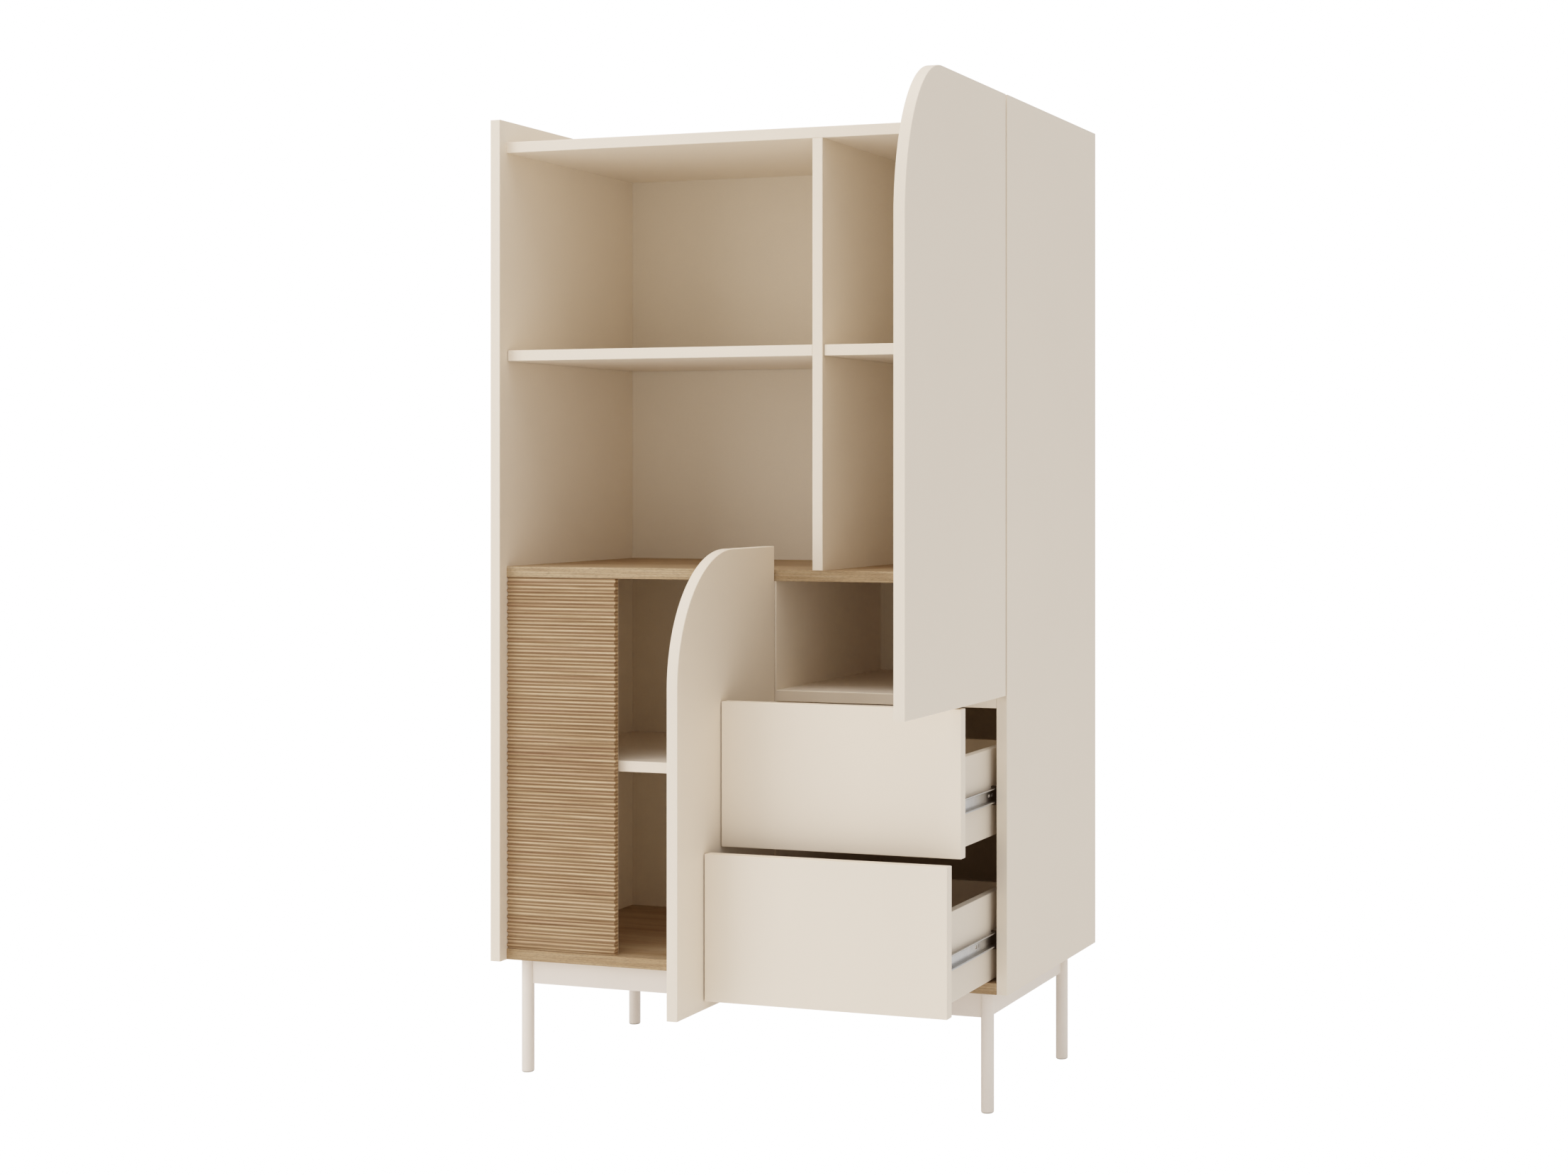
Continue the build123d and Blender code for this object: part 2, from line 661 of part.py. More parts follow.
def channel(face, way, level, start, length, u0, u1, half_height, lip_way, lip, web_at):
    """A folded steel channel along y: web, two flanges and their lips, in the open builder.

    u counts from the cabinet face towards the drawer. The web lies at the u named by web_at,
    the lips stand at the other end and turn inwards (-1) or outwards (1)."""
    def strip(ua, ub, wa, wb):
        xa, xb = face + way * ua, face + way * ub
        slab(min(xa, xb), max(xa, xb), start, start + length, level + wa, level + wb)
    web_u = u0 if web_at == "low" else u1 - slide_steel
    lip_u = u1 - slide_steel if web_at == "low" else u0
    strip(web_u, web_u + slide_steel, -half_height, half_height)
    for hand in (-1, 1):
        edge_in = hand * (half_height - slide_steel)
        edge_out = hand * half_height
        strip(u0, u1, min(edge_in, edge_out), max(edge_in, edge_out))
        lip_from = edge_out if lip_way > 0 else edge_in
        lip_to = lip_from + lip_way * hand * lip
        strip(lip_u, lip_u + slide_steel, min(lip_from, lip_to), max(lip_from, lip_to))


# Cabinet members of the four slides
with BuildPart() as slide_cabinet_members:
    for face, way, level in slide_spots:
        channel(face, way, level, slide_start, slide_length, 0, slide_reach,
                slide_height / 2, -1, slide_lip, "low")
    rods(slide_screw_spots, 0, screw_radius + fit, slide_steel, Mode.SUBTRACT)
    rods(slide_screw_spots, 0, screw_head_radius, slide_head + running_fit, Mode.SUBTRACT)
keep(slide_cabinet_members, "slide_cabinet_members")

# Doors, built as they stand open: face to +x, free edge to -y, top free corner a quarter ellipse
door_specs = {
    "upper_door": (upper_door_inner, upper_free_y, upper_door_low, upper_door_high,
                   upper_corner_width, upper_corner_height, upper_hinge_heights, upper_pin_x),
    "lower_door": (lower_door_inner, lower_free_y, lower_door_low, lower_door_high,
                   lower_corner_width, lower_corner_height, lower_hinge_heights, lower_pin_x),
}
cup_hole_radius = cup_radius + fit
cup_y = hinge_edge_y - cup_edge_distance - cup_hole_radius
for name, (inner_x, free_y, low, high, corner_w, corner_h, levels, pin_x) in door_specs.items():
    with BuildPart() as door:
        outline = Plane(origin=place(inner_x, 0, 0), x_dir=Y_AXIS, z_dir=X_AXIS)
        with BuildSketch(outline):
            with BuildLine():
                Polyline((free_y, high - corner_h), (free_y, low), (hinge_edge_y, low),
                         (hinge_edge_y, high), (free_y + corner_w, high))
                EllipticalCenterArc((free_y + corner_w, high - corner_h), corner_w, corner_h,
                                    start_angle=90, arc_size=90)
            make_face()
        extrude(amount=front_board)
        faces = door.faces().sort_by(Axis.X)
        fillet(faces[0].edges() + faces[-1].edges(), radius=edge_round)
        for level in levels:
            rod((inner_x, cup_y, level), X_AXIS, cup_hole_radius, cup_hole_depth, Mode.SUBTRACT)
            for reach in (-cup_screw_reach, cup_screw_reach):
                rod((inner_x, cup_y, level + reach), X_AXIS, screw_radius + running_fit,
                    screw_length, Mode.SUBTRACT)
    keep(door, name)

    # Cups: a round housing with a flange on the door's inner face and a pocket for the arm
    with BuildPart() as cups:
        for level in levels:
            rod((inner_x, cup_y, level), X_AXIS, cup_radius, cup_hole_depth - fit)
            slab(inner_x - flange_thickness, inner_x, cup_y - flange_half_depth,
                 cup_y + flange_half_depth, level - flange_half_height, level + flange_half_height)
            slab(inner_x - flange_thickness, inner_x + cup_hole_depth - cup_floor,
                 cup_y - cup_radius + pocket_wall, hinge_edge_y, level - pocket_half_width,
                 level + pocket_half_width, Mode.SUBTRACT)
            rod((pin_x, pin_y, level - pin_half_length), Z_AXIS, pin_radius + pin_hold,
                2 * pin_half_length, Mode.SUBTRACT)
            for reach in (-cup_screw_reach, cup_screw_reach):
                rod((inner_x - flange_thickness, cup_y, level + reach), X_AXIS,
                    screw_radius + fit, flange_thickness, Mode.SUBTRACT)
    keep(cups, name + "_hinge_cups")

    # Pins that the door turns on
    with BuildPart() as pins:
        for level in levels:
            rod((pin_x, pin_y, level - pin_half_length + running_fit), Z_AXIS, pin_radius,
                2 * (pin_half_length - running_fit))
    keep(pins, name + "_hinge_pins")

    # Screws of the cup flanges
    with BuildPart() as cup_screws:
        for level in levels:
            for reach in (-cup_screw_reach, cup_screw_reach):
                seat = (inner_x - flange_thickness, cup_y, level + reach)
                rod(seat, X_AXIS, screw_radius, screw_length)
                rod(shifted(seat, X_AXIS, -screw_head), X_AXIS, screw_head_radius, screw_head)
    keep(cup_screws, name + "_cup_screws")

# Drawers, built pulled out by the amount they stand open
box_left = lower_divider_right + slide_space
box_right = inner_right - slide_space
drawer_specs = {
    "upper_drawer": (upper_front_low, upper_drawer_out),
    "lower_drawer": (lower_front_low, lower_drawer_out),
}
for name, (front_low, out) in drawer_specs.items():
    front_back = front_board - out
    box_end = front_back + drawer_length
    side_low = front_low + drawer_side_lift
    side_high = side_low + drawer_side_height
    sheet_low = side_low + drawer_sheet_lift
    sheet_high = sheet_low + sheet
    inner_l, inner_r = box_left + drawer_board, box_right - drawer_board
    slide_level = front_low + slide_lift
    member_start = slide_start - out
    side_middles = (box_left + drawer_board / 2, box_right - drawer_board / 2)
    back_middle = box_end - drawer_board / 2
    back_high = side_high - drawer_back_drop
    joint_levels = (sheet_high + drawer_joint_inset, back_high - drawer_joint_inset)
    groove = (sheet_low - fit, sheet_high + fit)

    # Dowels join the front to the sides, and screws join the sides to the back and to the slides
    side_bore = drawer_board - side_bore_floor
    drawer_dowels = [((x, front_back, z), Y_AXIS) for x in side_middles for z in joint_levels]
    back_screws = []
    member_screws = []
    for x, direction in ((box_left, X_AXIS), (box_right, -X_AXIS)):
        for z in joint_levels:
            back_screws.append(((x, back_middle, z), direction))
        for along in slide_screws_at:
            member_screws.append(((x, member_start + along, slide_level), direction))

    def drill_box():
        rods(drawer_dowels, small_dowel_depth + fit, small_dowel_radius + running_fit,
             2 * (small_dowel_depth + fit), Mode.SUBTRACT)
        rods(back_screws, 0, screw_radius + running_fit, 2 * screw_length + fit, Mode.SUBTRACT)
        rods(back_screws, 0, screw_head_radius + fit, screw_head, Mode.SUBTRACT)
        rods(member_screws, 0, screw_radius + running_fit, side_bore, Mode.SUBTRACT)

    with BuildPart() as drawer_front:
        slab(fronts_left, fronts_right, -out, front_back, front_low,
             front_low + drawer_front_height)
        fillet(drawer_front.edges(), radius=edge_round)
        slab(inner_l - groove_depth, inner_r + groove_depth, front_back - groove_depth,
             front_back, *groove, Mode.SUBTRACT)
        drill_box()
    keep(drawer_front, name + "_front")

    for side_name, left in (("_left_side", box_left), ("_right_side", box_right - drawer_board)):
        with BuildPart() as drawer_side:
            slab(left, left + drawer_board, front_back, box_end, side_low, side_high)
            upper_face = drawer_side.faces().sort_by(Axis.Z)[-1]
            fillet(upper_face.edges().filter_by(Axis.Y), radius=edge_round)
            slab(inner_l - groove_depth, inner_r + groove_depth, front_back, box_end,
                 *groove, Mode.SUBTRACT)
            drill_box()
        keep(drawer_side, name + side_name)

    with BuildPart() as drawer_back:
        slab(inner_l, inner_r, box_end - drawer_board, box_end, sheet_high + fit, back_high)
        drill_box()
    keep(drawer_back, name + "_back")

    with BuildPart() as drawer_bottom:
        slab(inner_l - groove_depth + fit, inner_r + groove_depth - fit,
             front_back - groove_depth + fit, box_end, sheet_low, sheet_high)
    keep(drawer_bottom, name + "_bottom")

    with BuildPart() as slide_members:
        for face, way in ((lower_divider_right, 1), (inner_right, -1)):
            channel(face, way, slide_level, member_start, box_end - member_start,
                    inner_start, slide_space, inner_height / 2, 1, inner_lip, "high")
        rods(member_screws, slide_steel, screw_radius + fit, slide_steel, Mode.SUBTRACT)
    keep(slide_members, name + "_slide_members")

    with BuildPart() as drawer_dowel_group:
        rods(drawer_dowels, small_dowel_depth, small_dowel_radius, 2 * small_dowel_depth)
    keep(drawer_dowel_group, name + "_dowels")

    with BuildPart() as drawer_screws:
        rods(member_screws, slide_steel, screw_radius, slide_steel + side_bore - fit)
        rods(member_screws, slide_steel + screw_head, screw_head_radius, screw_head)
        rods(back_screws, 0, screw_radius, 2 * screw_length)
        rods(back_screws, 0, screw_head_radius, screw_head - fit)
    keep(drawer_screws, name + "_screws")

    # Ball cages: a thin U round the drawer member, with the balls in its two flanges
    closed_end = front_board + drawer_length
    cage_start = (slide_start + closed_end - cage_length - out) / 2
    cage_half = race + cage_steel / 2
    ball_u = (slide_reach + inner_start) / 2
    balls = []
    for face, way in ((lower_divider_right, 1), (inner_right, -1)):
        for hand in (-1, 1):
            for ball in range(ball_count):
                ball_y = cage_start + cage_length * (ball + 0.5) / ball_count
                balls.append(((face + way * ball_u, ball_y, slide_level + hand * race), Z_AXIS))
    with BuildPart() as ball_cages:
        for face, way in ((lower_divider_right, 1), (inner_right, -1)):
            web = (face + way * (slide_steel + cage_clear),
                   face + way * (slide_steel + cage_clear + cage_steel))
            flange_ends = (web[0], face + way * (slide_reach - slide_steel - cage_end_gap))
            slab(min(web), max(web), cage_start, cage_start + cage_length,
                 slide_level - cage_half, slide_level + cage_half)
            for hand in (-1, 1):
                slab(min(flange_ends), max(flange_ends), cage_start, cage_start + cage_length,
                     slide_level + hand * race - cage_steel / 2,
                     slide_level + hand * race + cage_steel / 2)
        rods(balls, cage_steel, ball_radius + running_fit, 2 * cage_steel, Mode.SUBTRACT)
        with Locations(*[place(*point) for point, direction in balls]):
            Sphere(ball_radius)
    keep(ball_cages, name + "_ball_cages")
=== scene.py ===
import math

import bmesh
import bpy
from mathutils import Matrix, Vector


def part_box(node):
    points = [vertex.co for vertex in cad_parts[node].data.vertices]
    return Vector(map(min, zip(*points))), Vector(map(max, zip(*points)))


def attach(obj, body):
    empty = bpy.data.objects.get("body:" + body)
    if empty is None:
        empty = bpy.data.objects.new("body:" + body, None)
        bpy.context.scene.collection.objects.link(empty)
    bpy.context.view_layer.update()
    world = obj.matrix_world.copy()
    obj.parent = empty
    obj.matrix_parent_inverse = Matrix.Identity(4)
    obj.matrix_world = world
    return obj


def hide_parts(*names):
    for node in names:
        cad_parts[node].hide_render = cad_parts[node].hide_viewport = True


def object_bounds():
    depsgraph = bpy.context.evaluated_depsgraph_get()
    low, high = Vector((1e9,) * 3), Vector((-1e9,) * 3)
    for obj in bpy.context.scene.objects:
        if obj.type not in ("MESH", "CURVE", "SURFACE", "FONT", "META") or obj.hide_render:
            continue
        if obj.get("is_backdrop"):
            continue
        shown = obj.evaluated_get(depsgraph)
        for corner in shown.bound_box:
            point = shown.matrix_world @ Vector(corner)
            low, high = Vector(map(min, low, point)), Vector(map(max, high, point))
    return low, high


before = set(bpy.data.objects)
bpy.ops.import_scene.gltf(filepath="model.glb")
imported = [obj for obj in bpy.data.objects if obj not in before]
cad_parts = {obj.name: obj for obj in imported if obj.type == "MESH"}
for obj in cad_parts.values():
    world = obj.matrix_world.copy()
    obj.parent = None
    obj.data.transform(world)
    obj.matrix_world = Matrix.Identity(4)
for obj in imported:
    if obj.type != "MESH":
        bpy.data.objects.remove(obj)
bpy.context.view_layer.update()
bpy.ops.object.select_all(action="DESELECT")


# Cream boards: the carcass, the shelves, the doors and the drawer fronts.
# Each is a 16 mm particle board with a matt cream decor on its faces and a band of the same cream
# glued round its edges. The decor is printed very evenly and has a fine pearl that softens its gloss.
mm = 0.001  # Sizes are written in millimetres and multiplied by this.
cream = (0.875, 0.775, 0.650)
cream_rough = 0.52
decor_cloud = 300.0
decor_pearl = 1.2
relief = 0.2


def shade(material, kind, inputs=None, **settings):
    """Adds a shader node; an input is a number, a colour or another node's output."""
    made = material.node_tree.nodes.new("ShaderNode" + kind)
    for name, value in settings.items():
        setattr(made, name, value)
    for socket, value in (inputs or {}).items():
        if isinstance(value, bpy.types.NodeSocket):
            material.node_tree.links.new(value, made.inputs[socket])
        else:
            made.inputs[socket].default_value = value
    return made


def new_material(name):
    """A material with nothing in it but the object's coordinates."""
    material = bpy.data.materials.new(name)
    material.use_nodes = True
    material.node_tree.nodes.clear()
    return material, shade(material, "TexCoord").outputs["Object"]


def finish(material, colour, rough, height=None, strength=0.1, specular=0.5, metallic=0.0):
    """Puts the shader and the output behind a material's patterns."""
    bsdf = shade(material, "BsdfPrincipled", {"Base Color": colour, "Roughness": rough})
    bsdf.inputs["Specular IOR Level"].default_value = specular
    bsdf.inputs["Metallic"].default_value = metallic
    if height is not None:
        bump = shade(material, "Bump", {"Height": height, "Strength": strength, "Distance": relief * mm})
        material.node_tree.links.new(bump.outputs["Normal"], bsdf.inputs["Normal"])
    shade(material, "OutputMaterial", {"Surface": bsdf.outputs["BSDF"]})
    return material


def noise(material, place, cell, detail=2.0, distortion=0.0):
    """Noise whose cells measure so many millimetres along x, y and z, or as many along all three."""
    sides = (cell, cell, cell) if isinstance(cell, float) else cell
    fit = shade(material, "Mapping", {"Vector": place, "Scale": [1.0 / (side * mm) for side in sides]})
    made = shade(material, "TexNoise", {"Vector": fit.outputs["Vector"], "Scale": 1.0,
                                        "Detail": detail, "Distortion": distortion})
    return made.outputs["Fac"]


def ramp(material, value, *stops):
    """A colour ramp through (place, colour) stops; a plain number stands for a grey."""
    made = shade(material, "ValToRGB", {"Fac": value})
    elements = made.color_ramp.elements
    while len(elements) < len(stops):
        elements.new(0.5)
    for element, (at, colour) in zip(elements, stops):
        if isinstance(colour, float):
            colour = (colour, colour, colour)
        element.position = at
        element.color = (*colour, 1.0)
    return made.outputs["Color"]


def tinted(colour, amount):
    """A colour made lighter or darker by a factor."""
    return tuple(part * amount for part in colour)


def varied(material, value, colour, share):
    """A colour that a noise makes up to a share lighter and darker."""
    return ramp(material, value, (0.3, tinted(colour, 1.0 - share)), (0.7, tinted(colour, 1.0 + share)))


def uneven(material, value, rough, spread):
    """A roughness that a noise raises and lowers by a spread."""
    return ramp(material, value, (0.3, rough - spread), (0.7, rough + spread))


def paint(names, material):
    """Gives CAD nodes a finish."""
    for name in names:
        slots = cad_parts[name].data.materials
        slots.clear()
        slots.append(material)


def laminate(name, colour, rough):
    """A printed decor: nearly even, with a fine pearl in its gloss."""
    material, place = new_material(name)
    cloud = noise(material, place, decor_cloud, detail=4.0)
    pearl = noise(material, place, decor_pearl)
    return finish(material, varied(material, cloud, colour, share=0.01),
                  uneven(material, pearl, rough, spread=0.05), pearl, strength=0.05, specular=0.35)


paint(["left_side_panel", "right_side_panel", "top_panel", "upper_divider", "lower_divider",
       "niche_shelf", "upper_left_shelf", "upper_right_shelf", "lower_left_shelf", "upper_door",
       "lower_door", "upper_drawer_front", "lower_drawer_front"],
      laminate("cream_decor", cream, cream_rough))


# Oak boards: the middle shelf and the bottom panel.
# The same board with a light oak decor. The grain runs along the length in soft bands, crossed by
# nothing but its own short dark pores; the band glued along the front edge is printed a little apart.
oak_pale = (0.489, 0.358, 0.230)
oak_mid = (0.400, 0.274, 0.162)
oak_dark = (0.282, 0.177, 0.095)
oak_rough = 0.55
band_length = 450.0
line_length, line_width = 100.0, 2.2
pore_length, pore_width = 9.0, 0.6
board_band_width = 35.0
edge_band = 0.5
fleck_size, fleck_height = 5.0, 0.5
middle_edge_tint = (1.14, 1.19, 1.23)
bottom_edge_tint = (0.98, 0.96, 0.92)


def times(material, value, factor):
    """A colour multiplied by a factor, which is a colour or another node's output."""
    return shade(material, "Mix", {"Factor": 1.0, "A": value, "B": factor}, data_type="RGBA",
                 blend_type="MULTIPLY").outputs["Result"]


def blend(material, factor, first, second):
    """Two colours mixed by a factor."""
    return shade(material, "Mix", {"Factor": factor, "A": first, "B": second},
                 data_type="RGBA").outputs["Result"]


def along_axis(material, place, axis):
    """How far along X, Y or Z a place is."""
    return shade(material, "SeparateXYZ", {"Vector": place}).outputs[axis]


def math_step(material, operation, first, second):
    """One step of arithmetic on two numbers or outputs."""
    return shade(material, "Math", {0: first, 1: second}, operation=operation).outputs["Value"]


def oak_grain(material, place, band_width, line_share, pore_tint):
    """Oak with its grain along x: its colour, and where its pores are closed."""
    bands = noise(material, place, (band_length, band_width, band_width), detail=5.0, distortion=0.3)
    lines = noise(material, place, (line_length, line_width, line_width), detail=4.0)
    grain = shade(material, "Mix", {"Factor": line_share, "A": bands, "B": lines}, data_type="FLOAT")
    wood = ramp(material, grain.outputs["Result"], (0.34, oak_dark), (0.47, oak_mid), (0.60, oak_pale))
    pore = noise(material, place, (pore_length, pore_width, pore_width))
    closed = ramp(material, pore, (0.30, 0.0), (0.42, 1.0))
    return times(material, wood, ramp(material, pore, (0.30, pore_tint), (0.42, 1.0))), closed


def oak_board(node, edge_tint):
    """Oak decor for a board, and its front band in its own tint."""
    material, place = new_material(node + "_oak")
    wood, closed = oak_grain(material, place, board_band_width, line_share=0.5, pore_tint=0.68)
    fleck = noise(material, place, (fleck_size, fleck_size, fleck_height))
    band_tint = ramp(material, fleck, (0.34, tinted(edge_tint, 0.78)), (0.47, edge_tint),
                     (0.66, tinted(edge_tint, 1.07)))
    front = math_step(material, "LESS_THAN", along_axis(material, place, "Y"),
                      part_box(node)[0].y + edge_band * mm)
    both = blend(material, front, wood, times(material, wood, band_tint))
    paint([node], finish(material, both, oak_rough, closed, strength=0.3, specular=0.35))


oak_board("middle_shelf", middle_edge_tint)
oak_board("bottom_panel", bottom_edge_tint)


# Ribbed front: a fixed 12 mm board beside the lower door, with the same oak on it.
# It is milled along its length into narrow crests and wide hollows. The colour is painted darker as shade
# on the slopes and paler as highlights on the crests and in the hollows; the board's back is plain cream.
rib_pitch = 10.53
# Painted shade for the ribs' slopes, and painted highlights for their hollows and crests.
painted_slope_shade = (0.73, 0.68, 0.62)
painted_hollow_highlight = (1.72, 1.80, 1.88)
painted_crest_highlight = (1.26, 1.27, 1.29)
rust = (0.355, 0.215, 0.140)
rust_share = 0.4
rib_band_width = 16.0
streak_length, streak_width = 220.0, 6.0


def ribbed_oak(node):
    """Oak with painted shade on the ribs' slopes and painted highlights on crests and hollows; the lowest
    hollow is cut through its middle.
    """
    material, place = new_material(node + "_oak")
    wood, closed = oak_grain(material, place, rib_band_width, line_share=0.7, pore_tint=0.86)
    streak = noise(material, place, (streak_length, streak_width, streak_width), detail=3.0)
    rusty = math_step(material, "MULTIPLY", ramp(material, streak, (0.50, 0.0), (0.68, 1.0)), rust_share)
    wood = blend(material, rusty, wood, (*rust, 1.0))
    risen = math_step(material, "SUBTRACT", along_axis(material, place, "Z"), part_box(node)[0].z)
    pitches = math_step(material, "DIVIDE", risen, rib_pitch * mm)
    from_hollow = math_step(material, "PINGPONG", pitches, 0.5)
    to_crest = math_step(material, "MULTIPLY", from_hollow, 2.0)
    # Painted light on the ribs: darker shade on the slopes, pale highlights on the crests and in the
    # hollows.
    painted_rib_light = ramp(material, to_crest, (0.04, painted_hollow_highlight), (0.30, (1.0, 1.0, 1.0)),
                 (0.46, painted_slope_shade), (0.74, painted_slope_shade), (0.96, painted_crest_highlight))
    behind = math_step(material, "GREATER_THAN", along_axis(material, place, "Y"),
                       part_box(node)[1].y - edge_band * mm)
    both = blend(material, behind, times(material, wood, painted_rib_light), (*cream, 1.0))
    return finish(material, both, oak_rough, closed, strength=0.12, specular=0.35)


paint(["ribbed_front"], ribbed_oak("ribbed_front"))


# Back sheet and drawer bottoms.
# Fibre board 3 mm thick, lacquered cream on the side that shows and left as brown fibre on the other,
# slid into grooves in the boards round it.
lacquer_colour = (0.825, 0.725, 0.590)
fibre_dark, fibre_pale = (0.250, 0.160, 0.092), (0.330, 0.222, 0.135)
lacquer_rough = 0.56
felt_size, speck_size = 2.5, 0.8
skin = 0.5


def fibre_board(name, axis, compare, face):
    """Cream lacquer, and bare brown fibre past a plane square to an axis, just inside a face."""
    material, place = new_material(name)
    bare_fibre_and_end_shade = math_step(material, compare, along_axis(material, place, axis), face)
    felt = noise(material, place, felt_size, detail=6.0)
    speck = noise(material, place, speck_size)
    lacquer = varied(material, felt, lacquer_colour, share=0.01)
    brown = ramp(material, felt, (0.3, fibre_dark), (0.7, fibre_pale))
    both = blend(material, bare_fibre_and_end_shade, lacquer, brown)
    return finish(material, both, uneven(material, speck, lacquer_rough, spread=0.06), speck,
                  strength=0.08, specular=0.3)


paint(["back_panel"], fibre_board("back_sheet_board", "Y", "GREATER_THAN",
                                  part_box("back_panel")[1].y - skin * mm))
for drawer in ("upper_drawer", "lower_drawer"):
    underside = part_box(drawer + "_bottom")[0].z + skin * mm
    paint([drawer + "_bottom"], fibre_board(drawer + "_bottom_board", "Z", "LESS_THAN", underside))


# Drawer boxes: sides and backs.
# Board 12 mm thick, wrapped in a smooth foil a shade greyer than the fronts, and joined at its corners
# with dowels and screws.
foil_colour = (0.800, 0.710, 0.595)
foil_rough = 0.42
drawer_foil = laminate("drawer_foil", foil_colour, foil_rough)
paint([drawer + side for drawer in ("upper_drawer", "lower_drawer")
       for side in ("_left_side", "_right_side", "_back")], drawer_foil)


# Dowels: plain beech pins, 8 mm in the carcass and 5 mm in the small joints.
# They are turned from straight-grained beech and glued into their bores.
beech_dark, beech_pale = (0.42, 0.27, 0.15), (0.56, 0.39, 0.24)
beech_rough = 0.6
beech_fleck = (4.0, 1.0, 1.0)


def beech():
    """Beech with its short flecks along x."""
    material, place = new_material("beech")
    fleck = noise(material, place, beech_fleck, detail=3.0)
    wood = ramp(material, fleck, (0.35, beech_dark), (0.65, beech_pale))
    return finish(material, wood, beech_rough, fleck, strength=0.2)


paint(["dowels", "upper_drawer_dowels", "lower_drawer_dowels"], beech())


# Cams, their bolts, the shelf pins, the ball cages and the hinge pins.
# Turned and pressed steel with a bright plate of zinc or, on the hinges, of nickel; the plate is a little
# cloudy, and the marks of rolling and turning still show in its gloss.
zinc_colour, zinc_rough = (0.585, 0.58, 0.565), 0.34
nickel_colour, nickel_rough = (0.80, 0.78, 0.75), 0.36
# Near-black painted shade for the cabinet slides' front ends, which sit in shade deep beside the panel.
painted_end_shade = (0.085, 0.070, 0.055)
plate_cloud = 9.0
roll_marks = (0.6, 25.0, 0.6)


def plated(name, colour, rough, shade_until=None):
    """Plated steel with a soft cloud in its gloss and faint marks along y; painted near-black as shade
    before a given y.
    """
    material, place = new_material(name)
    cloud = noise(material, place, plate_cloud, detail=3.0)
    marks = noise(material, place, roll_marks)
    metal = ramp(material, cloud, (0.3, tinted(colour, 0.94)), (0.7, tinted(colour, 1.04)))
    # Before a given y, the metal is painted near-black as shade.
    if shade_until is not None:
        bare_fibre_and_end_shade = math_step(material, "LESS_THAN", along_axis(material, place, "Y"), shade_until)
        metal = blend(material, bare_fibre_and_end_shade, metal, (*painted_end_shade, 1.0))
    gloss = shade(material, "Mix", {"Factor": 0.5, "A": cloud, "B": marks}, data_type="FLOAT")
    dull = ramp(material, gloss.outputs["Result"], (0.35, rough - 0.03), (0.65, rough + 0.03))
    return finish(material, metal, dull, marks, strength=0.02, metallic=1.0)


zinc = plated("zinc_plate", zinc_colour, zinc_rough)
nickel = plated("nickel_plate", nickel_colour, nickel_rough)
paint(["cam_locks", "cam_bolts", "shelf_pins", "upper_drawer_ball_cages", "lower_drawer_ball_cages"], zinc)
paint(["upper_door_hinge_pins", "lower_door_hinge_pins"], nickel)


# Underframe: four round tubes and four flat bars.
# Steel, welded together and powder coated as one in a cream close to the boards'; the powder leaves a
# very fine orange peel.
coat_colour = (0.880, 0.800, 0.710)
coat_rough = 0.36
coat_cloud = 200.0
orange_peel = 1.6


def powder_coat():
    """Smooth paint with a fine orange peel."""
    material, place = new_material("powder_coat")
    peel = noise(material, place, orange_peel, detail=1.0)
    cloud = noise(material, place, coat_cloud)
    return finish(material, varied(material, cloud, coat_colour, share=0.01), coat_rough, peel,
                  strength=0.12)


coat = powder_coat()
paint(["front_left_leg", "rear_left_leg", "front_right_leg", "rear_right_leg", "frame_front_rail",
       "frame_rear_rail", "frame_left_rail", "frame_right_rail", "frame_plates"], coat)


# Weld beads: where the bars meet the tubes.
# A short rippled bead runs down each corner on the inside of the frame, under the same powder coat.
# The outer corners are ground flush, so none shows from in front.
bead_radius = 1.7
bead_ripple = 0.18
bead_step = 1.1
bead_from_edge = 2.0
bead_off_tube, bead_off_bar = 0.2, 2.2
bead_end = 0.6 * bead_radius
smooth_below = 35.0


def begin_edit(piece, mode="FACE"):
    """Opens one piece in edit mode with nothing in it selected."""
    bpy.ops.object.select_all(action="DESELECT")
    piece.select_set(True)
    bpy.context.view_layer.objects.active = piece
    bpy.ops.object.mode_set(mode="EDIT")
    bpy.ops.mesh.select_mode(type=mode)
    bpy.ops.mesh.select_all(action="DESELECT")


def end_edit():
    """Closes the open edit."""
    bpy.ops.object.mode_set(mode="OBJECT")


def apply(piece, kind, **settings):
    """Adds a modifier to a piece with these settings and applies it."""
    bpy.ops.object.select_all(action="DESELECT")
    piece.select_set(True)
    bpy.context.view_layer.objects.active = piece
    bpy.ops.object.modifier_add(type=kind)
    modifier = piece.modifiers[-1]
    for name, value in settings.items():
        setattr(modifier, name, value)
    bpy.ops.object.modifier_apply(modifier=modifier.name)


def pick_faces(piece, test):
    """Selects the faces whose middle and normal pass a test, in the open edit."""
    mesh = bmesh.from_edit_mesh(piece.data)
    for face in mesh.faces:
        face.select_set(test(face.calc_center_median(), face.normal))
    bmesh.update_edit_mesh(piece.data)


def pick_edges(piece, test):
    """Selects the edges whose middle and direction pass a test, in the open edit."""
    mesh = bmesh.from_edit_mesh(piece.data)
    for edge in mesh.edges:
        start, end = edge.verts[0].co, edge.verts[1].co
        edge.select_set(test((start + end) / 2, (end - start).normalized()))
    bmesh.update_edit_mesh(piece.data)


